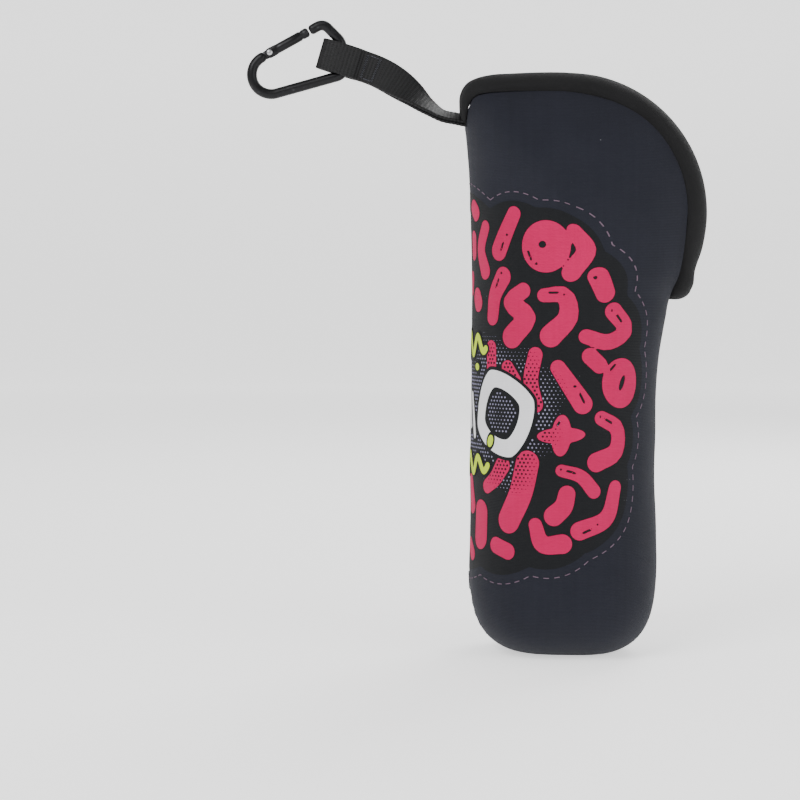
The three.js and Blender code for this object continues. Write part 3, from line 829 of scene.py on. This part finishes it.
def on_chain(angle, height, y):
    """A point by its angle on the zip's circle in degrees, height outward from it, and y."""
    turn = np.radians(angle)
    reach = ZIP_RADIUS + height
    x = ZIP_CENTRE[0] + reach * np.cos(turn)
    z = ZIP_CENTRE[1] + reach * np.sin(turn)
    return np.stack(np.broadcast_arrays(x, y, z), axis=-1)


def make_zip_chain():
    degrees = math.degrees(TEETH_PITCH / ZIP_RADIUS)
    turns = int((CHAIN_END - CHAIN_START) / degrees)
    steps = 12
    for side, hand in HANDS:
        phase = np.arange(turns * steps) / steps
        angle = CHAIN_START + (phase + (0.5 if side > 0 else 0.0)) * degrees
        loop = 2 * math.pi * phase
        y = side * (1.2 - 1.35 * np.cos(loop))
        height = 0.95 * np.sin(loop)
        path = on_chain(angle, height, y)
        verts, faces = sweep(path, COIL_RADIUS, sides=6)
        coil = make_object(f"{hand}_coil", verts, faces, nylon, sharp=0)
        ride_mouth(coil)
        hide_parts(f"{hand}_zip_coil", "front_zip_end" if side > 0 else "back_zip_end")


def make_zip_tapes():
    angles = np.linspace(TAPE_START, TAPE_END, 120)
    for side, hand in HANDS:
        sections = []
        for angle in angles:
            outline = [(-1.35, 0.04), (-1.35, 2.0), (-1.35, 5.5), (-1.4, 7.0), (-1.75, 7.3), (-2.1, 7.0),
                       (-2.1, 2.0), (-2.1, 0.04)]
            sections.append([on_chain(angle, h, side * y) for h, y in outline])
        verts, faces = loft(sections)
        if side < 0:
            faces = [f[::-1] for f in faces]
        across = np.tile([0.0, 2, 5.5, 7, 7.4, 7.7, 12, 14], len(angles))
        up = np.repeat(np.radians(angles) * ZIP_RADIUS, 8)
        tape = make_object(f"{hand}_tape", verts, faces, tape_knit, np.stack([across, up], axis=1))
        ride_mouth(tape)
        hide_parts(f"{hand}_zip_tape")


def dashes(path, normals, length, gap, radius):
    """Short stitches laid along a path, each a bent thread that dips at its ends."""
    run = run_along(path)
    parts = []
    here = 0.0
    while here + length < run[-1]:
        at = np.linspace(here, here + length, 5)
        points = at_run(at, run, path)
        out = at_run(at, run, normals)
        lift = np.array([-0.8, 0.5, 0.9, 0.5, -0.8]) * radius
        parts.append(sweep(points + out * lift[:, None], radius, sides=6))
        here += length + gap
    return joined(parts)


def make_lip_stitches():
    """The rows that sew the zip's tapes down, on the tapes beside the coils."""
    angles = np.linspace(CHAIN_START - 5, CHAIN_END, 160)
    for side, hand in HANDS:
        path = on_chain(angles, -1.3, side * 3.55)
        out = on_chain(angles, 1.0, side * 3.55) - on_chain(angles, 0.0, side * 3.55)
        verts, faces = dashes(path, out, 1.5, 0.8, 0.17)
        piece = make_object(f"{hand}_tape_stitches", verts, faces, seam_thread)
        ride_mouth(piece)


# ---- print ----

def segment(p, a, b, radius, end_radius=None):
    """Signed distance to a rounded bar between a and b, which may taper."""
    a, b = np.array(a, float), np.array(b, float)
    along = b - a
    t = np.clip(((p - a) @ along) / max(along.dot(along), 1e-9), 0, 1)
    size = radius + (0 if end_radius is None else (end_radius - radius) * t)
    return np.linalg.norm(p - (a + t[..., None] * along), axis=-1) - size


def printed(name, distance, box, pitch, height, material):
    """A print: the inside of a signed distance, as a thin closed skin on the wrap."""
    flat, faces = contour(distance, box, pitch)
    points, normals = unrolled(flat[:, 0], flat[:, 1])
    top = points + normals * height
    under = points + normals * (height - PRINT_DEPTH)
    verts, faces, order = thicken(top, under, faces)
    both = np.concatenate([normals[order], -normals[order]])
    uv = np.concatenate([flat[order]] * 2)
    piece = make_object(name, verts, faces, material, uv, sharp=0, normals=both)
    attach(piece, "pouch")
    return piece


# The print's edge for u > 0, from the top down: (u, z) of each cusp, and how far the bump after
# it stands out, as a share of its length.
EDGE_CUSPS = [(24.5, 187, 0.14), (48.3, 186.3, 0.2), (73.2, 168.6, 0.12), (85.3, 150.2, 0.17),
              (95.5, 127, 0.19), (92, 99.5, 0.13), (90.3, 79.5, 0.2), (69, 43, 0.14), (45, 36.5, 0.12),
              (18, 34.5, 0.1)]
PRINT_MIDDLE = (0.0, 112.0)


def scalloped_edge(grow=0.0, spacing=0.5):
    """The closed edge of the print: outward bumps between cusps, the same on both sides."""
    cusps = EDGE_CUSPS + [(-u, z, 0.0) for u, z, _ in EDGE_CUSPS[::-1]]
    bulges = [bulge for _, _, bulge in EDGE_CUSPS]
    bulges += bulges[:-1][::-1] + [0.16]
    points = []
    for i, (u, z, _) in enumerate(cusps):
        a = np.array([u, z], float)
        b = np.array(cusps[(i + 1) % len(cusps)][:2], float)
        length = np.linalg.norm(b - a)
        out = np.array([-(b - a)[1], (b - a)[0]]) / length
        if out.dot((a + b) / 2 - PRINT_MIDDLE) < 0:
            out = -out
        for t in np.arange(0, 1, spacing / length):
            points.append(a + (b - a) * t + out * (bulges[i] * length * 4 * t * (1 - t) + grow))
    return np.array(points)


def inside_edge(edge):
    """A function that gives the signed distance to a closed edge."""
    closed = np.concatenate([edge, edge[:1]])

    def distance(p):
        flat = p.reshape(-1, 2)
        best = np.full(len(flat), np.inf)
        crossings = np.zeros(len(flat), dtype=int)
        for a, b in zip(closed, closed[1:]):
            along = b - a
            t = np.clip(((flat - a) @ along) / along.dot(along), 0, 1)
            best = np.minimum(best, ((flat - a - t[:, None] * along) ** 2).sum(axis=1))
            cut = (a[1] > flat[:, 1]) != (b[1] > flat[:, 1])
            where = a[0] + (flat[:, 1] - a[1]) * along[0] / (along[1] if along[1] else 1e-9)
            crossings += cut & (flat[:, 0] < where)
        signed = np.where(crossings % 2 == 1, -1, 1) * np.sqrt(best)
        return signed.reshape(p.shape[:-1])

    return distance


def oval(p, centre, half_u, half_z, tilt=0.0):
    """About the signed distance to a tilted oval."""
    turn = math.radians(tilt)
    offset = p - np.array(centre, float)
    u = offset[..., 0] * math.cos(turn) + offset[..., 1] * math.sin(turn)
    z = offset[..., 1] * math.cos(turn) - offset[..., 0] * math.sin(turn)
    return (np.hypot(u / half_u, z / half_z) - 1) * min(half_u, half_z)


def bean(p, points, radius, end_radius):
    """About the signed distance to a smoothly curved bar through the points."""
    line = resample(points, 12)
    radii = np.linspace(radius, end_radius, len(line))
    pieces = [segment(p, a, b, r, s) for a, b, r, s in zip(line, line[1:], radii, radii[1:])]
    return np.minimum.reduce(pieces)


# The bars of one half of the print: (u, z) points, and the radius at the first and the last. Two
# points make a straight bar, and more a bent one.
PRINT_BARS = [
    ([(10, 184), (12, 182.5)], 3.4, 3.4), ([(20.5, 176), (16.5, 167), (19.5, 158.5)], 2.6, 3.2),
    ([(8.5, 172), (8, 166)], 2.8, 2.8), ([(37, 181), (29, 166.5)], 2.8, 3.7),
    ([(61.5, 174.5), (65.5, 166.5), (60.8, 157.5)], 2.0, 3.2),
    ([(69.9, 156.2), (73.6, 149.2)], 3.2, 3.2),
    ([(31, 156), (26.3, 148.5), (25.2, 139.8)], 3.7, 3.0),
    ([(41, 150.4), (35.2, 146), (42.5, 140), (36, 132)], 2.9, 4.3),
    ([(50, 148.6), (58.5, 148.4), (60, 140.5), (53, 132.5)], 2.4, 4.2),
    ([(77.6, 142.2), (83.6, 134.5), (76.5, 130), (67, 132.2)], 3.2, 2.6),
    ([(68.8, 124.4), (72.8, 120.8)], 3.0, 3.0), ([(56, 119.8), (66, 105.4)], 2.8, 3.7),
    ([(46.6, 125), (44.6, 114.5), (46.6, 105)], 2.7, 2.9),
    ([(37.2, 114.6), (33.8, 119.5)], 2.7, 2.7), ([(24.5, 127.5), (24.5, 119)], 2.6, 2.6),
    ([(74, 99.6), (81.2, 95.2), (81, 86.5), (72, 82)], 2.6, 3.6),
    ([(57.6, 78.8), (65.5, 76.4), (71, 70.4)], 2.1, 2.6),
    ([(59.8, 69.4), (58.5, 64.5), (54.6, 60.6)], 3.1, 3.7),
    ([(80.8, 71.6), (76.6, 59.6), (65, 54.6)], 2.6, 3.4),
    ([(43.4, 81.5), (40.5, 69.5), (34.8, 58)], 4.7, 4.9),
    ([(31.6, 80), (27.5, 74.5), (22.5, 71)], 3.4, 2.6), ([(17.6, 60.4), (17.2, 49.5)], 4.4, 4.4),
    ([(47, 56.8), (50, 49.2), (58, 49.4)], 2.5, 3.6), ([(28, 47.5), (34.5, 45.5)], 3.0, 3.0),
    ([(12, 148), (13.5, 145.5)], 3.4, 3.4), ([(5.5, 72), (8, 62)], 2.6, 3.2),
    ([(5.5, 46), (9.5, 42)], 2.4, 2.4), ([(4.5, 156), (3.5, 151)], 2.4, 2.4),
]


def blobs_of_half(q):
    """Soft abstract shapes on one half of the print: pills, beans, beads and waves."""
    disc = np.maximum(oval(q, (50.8, 168), 9.8, 10), -oval(q, (49.4, 168.8), 2.0, 1.8))
    bead = np.maximum(oval(q, (82.8, 113.5), 8.4, 9.6), -oval(q, (83.4, 113.6), 1.5, 4.4, -20))
    shapes = [disc, bead, oval(q, (57.3, 92.8), 8.8, 2.8, 3),
              oval(q, (57.4, 92.8), 3.6, 7.6, -4)]
    for points, radius, end_radius in PRINT_BARS:
        if len(points) == 2:
            shapes.append(segment(q, *points, radius, end_radius))
        else:
            shapes.append(bean(q, points, radius, end_radius))
    highlights = [((31.6, 169.8), (30.2, 166.6)), ((43.2, 166.4), (44.6, 162.8)),
                  ((28.8, 155.4), (27, 151.8)), ((52, 149.6), (56, 149.6)),
                  ((79, 140.8), (81.4, 138)), ((77.6, 118.8), (79.8, 121)),
                  ((64.8, 109.6), (66.6, 106)), ((55.8, 96.8), (56.8, 98.4)),
                  ((75.4, 99.4), (78.6, 97.6)), ((59.6, 78.8), (63, 77.8)),
                  ((66.4, 53.8), (69.8, 55.2))]
    dots = [((33.6, 172.8), 0.7), ((46.8, 161.2), 0.7), ((69, 155.6), 0.8), ((30.2, 157.6), 0.7),
            ((58.4, 148.8), 0.6), ((76.8, 142.6), 0.6), ((62.8, 112.4), 0.7), ((73.4, 100.2), 0.6),
            ((57.4, 79.2), 0.6), ((72.4, 57), 0.6)]
    marks = [segment(q, a, b, 0.5) for a, b in highlights] + [segment(q, c, c, r) for c, r in dots]
    return np.maximum(np.minimum.reduce(shapes) - 0.35, -np.minimum.reduce(marks))


def pink_blobs(p):
    """The pink shapes on both halves, mirrored about the fold."""
    mirrored = np.stack([np.abs(p[..., 0]), p[..., 1]], axis=-1)
    return blobs_of_half(mirrored)


def white_emblem(p):
    """A rounded diamond frame on each side of the fold, with speed lines between them."""
    turn = math.radians(20)
    frames = []
    for side in (1, -1):
        u = p[..., 0] - side * 30.0
        z = p[..., 1] - 101.0
        across = np.abs(u * math.cos(turn) + z * math.sin(turn))
        up = np.abs(z * math.cos(turn) - u * math.sin(turn))
        diamond = ((across / 17.5) ** 1.5 + (up / 19.0) ** 1.5) ** (1 / 1.5) - 1
        frames.append(np.abs(diamond * 15.0 + 3.4) - 2.9)
    lines = [segment(p, (-6 + 6 * i, 112 - 2 * i), (-1 + 6 * i, 99 - 4 * i), 1.7 - 0.25 * i)
             for i in range(3)]
    return np.minimum.reduce(frames + lines)


def lime_marks(p):
    """A loose wave above the emblem and one below it, with a few drops."""
    shapes = []
    for low, high, middle, reach in ((-20.0, 21.0, 128.5, 4.6), (-19.0, 23.0, 79.5, 4.2)):
        count = 64
        us = np.linspace(low, high, count)
        swing = reach * np.sin((us - low) * 2 * math.pi / 10.5) * (0.75 + 0.25 * np.cos(us / 9))
        points = np.stack([us, middle + swing], axis=1)
        shapes += [segment(p, a, b, 1.35) for a, b in zip(points, points[1:])]
    shapes += [oval(p, (13.5, 119.4), 1.9, 1.5), oval(p, (24.6, 89.6), 1.7, 2.6, -18),
               oval(p, (-14.5, 88.2), 1.8, 1.5)]
    return np.minimum.reduce(shapes)


DOT_PITCH = 1.75


def make_dots():
    """Halftone dots round the emblem, smaller further out: pale on the dark, dark on the pink."""
    pale, dark = [], []
    for row in range(-24, 25):
        for column in range(-34, 35):
            place = np.array([(column + 0.5 * (row % 2)) * DOT_PITCH, 103 + row * DOT_PITCH * 0.87])
            clear = float(white_emblem(place))
            if clear < 1.6 or float(lime_marks(place)) < 1.5:
                continue
            drift = 4.0 * noise.noise(Vector((*place, 0)) / 11)
            size = 0.5 * (1 - float(smoothstep(3, 16, clear + drift)))
            if size < 0.13:
                continue
            pink = float(pink_blobs(place))
            if pink < -size:
                dark.append((place, size))
            elif pink > size:
                pale.append((place, 0.8 * size))
    turn = np.arange(8) * math.pi / 4
    circle = np.stack([np.cos(turn), np.sin(turn)], axis=1)
    for name, dots, material, height in (("pale_dots", pale, print_pale, 0.13),
                                         ("dark_dots", dark, print_dark, 0.19)):
        rims = np.array([place + size * circle for place, size in dots])
        top = raised(rims[..., 0], rims[..., 1], height)
        low = raised(rims[..., 0], rims[..., 1], height - 0.4)
        verts, faces = joined([loft([b, a]) for a, b in zip(top, low)])
        piece = make_object(name, verts, faces, material, np.repeat(rims, 2, axis=0).reshape(-1, 2), sharp=0)
        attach(piece, "pouch")


def make_edge_dashes():
    """Short printed dashes along the print's edge."""
    length, gap, half_width = 2.3, 2.1, 0.2
    closed = scalloped_edge()
    closed = np.concatenate([closed, closed[:1]])
    run = run_along(closed)
    parts, flats = [], []
    for here in np.arange(0, run[-1] - length, length + gap):
        at = np.linspace(here, here + length, 5)
        line = at_run(at, run, closed)
        side = beside(line) * half_width
        corners = [(line + side, 0.12), (line - side, 0.12), (line - side, -0.25), (line + side, -0.25)]
        parts.append(loft(np.stack([raised(b[:, 0], b[:, 1], h) for b, h in corners], axis=1)))
        flats.append(np.stack([b for b, _ in corners], axis=1).reshape(-1, 2))
    verts, faces = joined(parts)
    piece = make_object("print_dashes", verts, faces, print_dash, np.concatenate(flats), sharp=0)
    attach(piece, "pouch")


def make_print():
    middle = (-52, 80, 52, 122)
    strokes = (-26, 72, 30, 136)
    printed("print_ground", inside_edge(scalloped_edge(-3.6, 2.0)), (-104, 30, 104, 200), 1.6, 0.05,
            print_dark)
    printed("print_blobs", pink_blobs, (-94, 36, 94, 192), 0.85, 0.12, print_pink)
    printed("print_emblem_edge", lambda p: white_emblem(p) - 1.2, middle, 0.8, 0.17, print_dark)
    printed("print_emblem", white_emblem, middle, 0.7, 0.22, print_white)
    printed("print_waves_edge", lambda p: lime_marks(p) - 0.9, strokes, 0.7, 0.26, print_dark)
    printed("print_waves", lime_marks, strokes, 0.6, 0.3, print_lime)
    make_dots()
    make_edge_dashes()


# ---- seam threads ----

def outline_path(from_z, to_front_z):
    """The wrap's edge in side view: down the back from from_z and under to the front."""
    points = [(back_reach(z), z) for z in np.linspace(from_z, SPINE_LOW, 50)]
    end = 180 - math.degrees(math.asin((SPINE_LOW - to_front_z) / 42))
    for angle in np.linspace(0, end, 110)[1:]:
        turn = math.radians(angle)
        reach = bottom_reach(angle)
        points.append((reach * math.cos(turn), SPINE_LOW - reach * math.sin(turn)))
    return resample(points, 400)


def make_flatlock_seam():
    """The zigzag cover stitch that closes the wrap down its back and under its base."""
    path = outline_path(146.0, 33.0)
    run = run_along(path)
    out = beside(path)
    pitch, half_width, radius = 2.2, 1.75, 0.2
    parts = []
    for row in (0.0, 0.5):
        at = np.arange(0.2, run[-1] - 0.2, pitch / 8)
        wave = (at / pitch + row) % 1.0
        y = half_width * (4 * np.abs(wave - 0.5) - 1)
        x, z = at_run(at, run, path).T
        nx, nz = at_run(at, run, out).T
        place = np.stack([x, y, z], axis=1)
        lift = relief(place) + seam_pucker(place) + 0.1 + 0.1 * np.cos(2 * math.pi * wave * 2)
        thread = np.stack([x + nx * lift, y, np.maximum(z + nz * lift, radius + 0.02)], axis=1)
        parts.append(sweep(thread, radius, sides=6))
    verts, faces = joined(parts)
    piece = make_object("flatlock_thread", verts, faces, seam_thread)
    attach(piece, "pouch")
    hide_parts("back_seam", "front_base_seam")


# ---- strap ----

strap_line = resample(STRAP_ROUTE, 400)
strap_run = run_along(strap_line)
strap_slope = np.gradient(strap_line, axis=0)
strap_slope = normalised(strap_slope)


def on_strap(distance, lift, across):
    """A point by its distance along the strap, its lift off the middle and its place across."""
    x, z = (np.interp(distance, strap_run, axis) for axis in strap_line.T)
    tx, tz = (np.interp(distance, strap_run, axis) for axis in strap_slope.T)
    before = min(distance, 0.0)
    twist = math.radians(STRAP_TWIST) * (1 - float(smoothstep(4, 40, distance)))
    along = np.array([tx, 0.0, tz])
    along /= np.linalg.norm(along)
    width = np.array([tz, 0.0, -tx]) * math.cos(twist) + np.array([0.0, math.sin(twist), 0.0])
    thick = np.cross(along, width)
    return np.array([x, 0.0, z]) + along * before + thick * lift + width * across


def webbing_run(stations):
    """Sections of ribbed webbing along (distance, lift) stations, with their cloth coordinates."""
    path = resample(stations, int(3.6 * np.linalg.norm(np.diff(stations, axis=0), axis=1).sum()))
    run = run_along(path)
    slope = np.gradient(path, axis=0)
    slope = normalised(slope)
    half = STRAP_WIDTH / 2
    profile = [(-half, 0.35), (-half + 0.5, 0.62), (-half + 1.2, 0.52), (-2.5, 0.56), (0, 0.58), (2.5, 0.56),
               (half - 1.2, 0.52), (half - 0.5, 0.62), (half, 0.35)]
    profile += [(across, -rise) for across, rise in profile[::-1]]
    sections, uv = [], []
    for (distance, lift), (along, up), here in zip(path, slope, run):
        rib = 1 + 0.09 * math.sin(2 * math.pi * here / 1.6)
        section = []
        for across, rise in profile:
            offset = rise * rib
            section.append(on_strap(distance - up * offset, lift + along * offset, across))
            uv.append((here, across))
        sections.append(section)
    return np.array(sections), uv


def webbing_piece(name, runs):
    """One object of several webbing runs."""
    parts, uvs = [], []
    for stations in runs:
        sections, uv = webbing_run(np.array(stations, float))
        verts, faces = loft(sections)
        parts.append((verts, [face[::-1] for face in faces]))
        uvs += uv
    verts, faces = joined(parts)
    piece = make_object(name, verts, faces, webbing, uvs, sharp=50)
    return piece


def box_stitch():
    """Bar tacks across the strap and the rows that join them, on both faces."""
    parts = []
    for face in (-1, 1):
        lift = face * TACK_LIFT
        for at in TACK_PLACES:
            count = 26
            tack = [on_strap(at + (0.45 if i % 2 else -0.45), lift, -TACK_HALF + 2 * TACK_HALF * i / count)
                    for i in range(count + 1)]
            parts.append(sweep(tack, 0.2, sides=6))
        for edge in (-TACK_HALF, TACK_HALF):
            for start in np.arange(39.2, 42.6, 1.2):
                row = [on_strap(start + step, lift + face * bump, edge)
                       for step, bump in ((0, -0.15), (0.25, 0.05), (0.65, 0.05), (0.9, -0.15))]
                parts.append(sweep(row, 0.18, sides=6))
    return joined(parts)


def make_strap():
    layer = 0.66
    split = 30.0
    root = webbing_piece("strap_root", [[(-5, side * layer), (12, side * layer), (split, side * layer)]
                                        for side in (1, -1)])
    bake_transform(root)
    leg = [(split, layer), (38, layer), (43.2, layer), (45.2, 1.2), (47.5, 2.75), (49.5, 3.0), (53.5, 3.0),
           (56, 2.8), (59, 1.9), (61.3, 1.0)]
    loop = leg + [(62.4, 0.0)] + [(distance, -lift) for distance, lift in leg[::-1]]
    outer = webbing_piece("strap_loop_end", [loop])
    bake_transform(outer)
    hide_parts("strap_webbing", "strap_loop")
    verts, faces = box_stitch()
    stitches = make_object("strap_box_stitch", verts, faces, seam_thread)
    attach(stitches, "strap")
    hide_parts("strap_stitching")


# ---- carabiner ----

def arc(centre, radius, start, end, count=14):
    """Points round a centre between two angles in radians."""
    angles = np.linspace(start, end, count)
    return [(centre[0] + radius * math.cos(a), centre[1] + radius * math.sin(a)) for a in angles]


def fillet(before, at, after, radius):
    """Points of the arc that rounds a corner."""
    before, at, after = (np.array(p, float) for p in (before, at, after))
    into = (at - before) / np.linalg.norm(at - before)
    out_of = (after - at) / np.linalg.norm(after - at)
    turn = math.acos(np.clip(into.dot(out_of), -1, 1))
    sign = np.sign(into[0] * out_of[1] - into[1] * out_of[0])
    start = at - into * radius * math.tan(turn / 2)
    centre = start + sign * radius * np.array([-into[1], into[0]])
    angle = math.atan2(*(start - centre)[::-1])
    return arc(centre, radius, angle, angle + sign * turn)


def along_gate(distance):
    return (GATE_PIVOT[0] + distance * math.cos(GATE_TURN), GATE_PIVOT[1] + distance * math.sin(GATE_TURN))


def gate_line(distances):
    return in_plane([along_gate(distance) for distance in distances])


def evenly(points, spacing):
    """The same broken line as points at about an even spacing."""
    points = np.array(points, float)
    run = run_along(points)
    return at_run(np.linspace(0, run[-1], int(run[-1] / spacing) + 1), run, points)


def in_plane(points):
    """Side-view points as points in the plane y = 0."""
    points = np.asarray(points, float)
    return np.stack([points[:, 0], np.zeros(len(points)), points[:, 1]], axis=1)


def make_carabiner():
    nose_corner = along_gate(NOSE)
    upper, lower = UPPER_CORNER, LOWER_CORNER
    x, z, radius = NARROW_END
    low_turn = math.radians(17)
    low_start = (x + radius * math.sin(low_turn), z - radius * math.cos(low_turn))
    path = [along_gate(ARM_FROM)]
    path += fillet(along_gate(ARM_FROM), nose_corner, upper, 3.6)
    path += fillet(nose_corner, upper, lower, 4.5)
    path += fillet(upper, lower, low_start, 4.2)
    path += arc((x, z), radius, low_turn - math.pi / 2, GATE_TURN - 3 * math.pi / 2, 40)
    path.append(along_gate(ARM_TO))
    line = evenly(path, 0.55)
    size = np.full(len(line), ROD)
    size[:3] = ROD * np.array([0.62, 0.88, 0.98])
    size[-3:] = ROD * np.array([0.98, 0.9, 0.66])
    rod = sweep(in_plane(line), size, sides=20)
    tongue = sweep(gate_line((-3.2, -2, 0, 1.2, 1.9)),
                   [1.5, 1.75, 1.9, 1.7, 0.9], sides=16, flat=0.42)
    verts, faces = joined([rod, tongue])
    frame_piece = make_object("carabiner_rod", verts, faces, black_metal)
    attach(frame_piece, "carabiner")
    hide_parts("carabiner_frame")

    at = np.array([2.5, 2.7, 3.3, 4.2, 9, 14.2, 14.6, 15.0, 15.4, 17.4, 17.9, 18.2])
    size = np.array([1.2, 1.7, 1.95, 2.0, 2.0, 2.0, 1.72, 1.72, 2.0, 2.0, 1.7, 1.2])
    barrel = sweep(gate_line(at), size, sides=20)
    parts = [barrel]
    for side in (-1, 1):
        cheek = gate_line((-1.9, -1.5, -0.6, 0.6, 2, 3.4, 4))
        cheek[:, 1] = side * 1.5
        parts.append(sweep(cheek, [0.7, 1.4, 1.85, 1.95, 1.9, 1.8, 1.2], sides=16, flat=0.24))
    verts, faces = joined(parts)
    gate = make_object("carabiner_gate_bar", verts, faces, black_metal)
    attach(gate, "gate")
    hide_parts("carabiner_gate", "gate_spring")

    ys = np.array([-2.75, -2.7, -2.45, -2.1, 2.1, 2.45, 2.7, 2.75])
    size = np.array([0.4, 0.85, 1.15, 1.2, 1.2, 1.15, 0.85, 0.4])
    pin = np.stack([np.full(8, GATE_PIVOT[0]), ys, np.full(8, GATE_PIVOT[1])], axis=1)
    verts, faces = sweep(pin, size, sides=18)
    rivet = make_object("gate_rivet", verts, faces, steel)
    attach(rivet, "carabiner")
    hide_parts("gate_pin")


# ---- slider ----

def at_slider(along, height, y):
    """A point at the closed slider: along the chain towards the back, height off it, and y."""
    turn = math.radians(CLOSED_AT)
    x = ZIP_CENTRE[0] + (ZIP_RADIUS + height) * math.cos(turn) + along * math.sin(turn)
    z = ZIP_CENTRE[1] + (ZIP_RADIUS + height) * math.sin(turn) - along * math.cos(turn)
    return np.stack(np.broadcast_arrays(x, y, z), axis=-1)


def slider_shell():
    """The top plate with its side flanges, and the lower plate, as closed lofts along the chain."""
    half_width = smooth([(-4.8, 4.0), (-4.2, 4.35), (-2, 4.5), (1.5, 4.25), (4.2, 4.1), (4.8, 3.95)])
    rows = np.linspace(-SLIDER_HALF, SLIDER_HALF, 17)
    drop = rows ** 2 / (2 * ZIP_RADIUS)
    upper, lower = [], []
    for along, low in zip(rows, drop):
        half = float(half_width(along))
        ends = min(1.0, (SLIDER_HALF - abs(along)) / 0.5 + 0.35)
        shell = [(-half, -1.1), (-half, 1.9), (-half + 0.3, 2.3), (-half + 0.9, 2.5), (0, 2.65),
                 (half - 0.9, 2.5), (half - 0.3, 2.3), (half, 1.9), (half, -1.1), (half - 0.9, -1.1),
                 (half - 0.9, 1.5), (0, 1.55), (-half + 0.9, 1.5), (-half + 0.9, -1.1)]
        plate = [(-half, -3.0), (-half + 0.4, -2.65), (half - 0.4, -2.65), (half, -3.0), (half - 0.3, -3.5),
                 (-half + 0.3, -3.5)]
        upper.append([at_slider(along, 1.5 + (h - 1.5) * (ends if h > 1.5 else 1) - low, y)
                      for y, h in shell])
        lower.append([at_slider(along, h - low, y) for y, h in plate])
    return [loft(upper), loft(lower)]


def make_slider():
    parts = slider_shell()
    arch = [(-3.7, 2.1), (-3.75, 4.2), (-3.3, 5.9), (-2.2, 6.55), (0, 6.7), (2.2, 6.55), (3.3, 5.9),
            (3.75, 4.2), (3.7, 2.1)]
    bridge = resample(arch, 34)
    path = np.array([at_slider(a, h, 0.0) for a, h in bridge])
    verts, faces = joined(parts + [sweep(path, 0.55, sides=12, flat=1.9)])
    body = make_object("zip_slider", verts, faces, black_metal, sharp=40)
    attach(body, "slider")
    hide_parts("slider_body", "slider_bridge")

    def leaf(p):
        tab = np.minimum(segment(p, (0.6, 0), (6.5, 0), 2.35), segment(p, (6.5, 0), (12.2, 0), 2.2, 2.4))
        window = segment(p, (1.6, 0), (4.0, 0), 1.35)
        slot = segment(p, (9.2, 0), (11.8, 0), 0.6)
        return np.maximum(tab, -np.minimum(window, slot))

    flat, faces = contour(leaf, (-2.5, -3.2, 15, 3.2), 0.3)
    lean = math.tan(math.radians(16))
    edge = np.clip(-leaf(flat) / 0.45, 0, 1)
    half = 0.32 + 0.2 * np.sqrt(edge)
    along = flat[:, 0] - 1.1
    height = 4.45 - along * lean
    top = at_slider(along, height + half, flat[:, 1])
    under = at_slider(along, height - half, flat[:, 1])
    verts, faces, _ = thicken(top, under, faces)
    pull = make_object("zip_pull", verts, faces, black_metal, sharp=50)
    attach(pull, "pull_tab")
    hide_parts("pull_tab")


# ---- build ----

make_camera()
make_stage()
make_wrap()
make_gusset()
make_zip_tapes()
make_zip_chain()
make_lip_stitches()
make_slider()
make_flatlock_seam()
make_strap()
make_carabiner()
make_print()
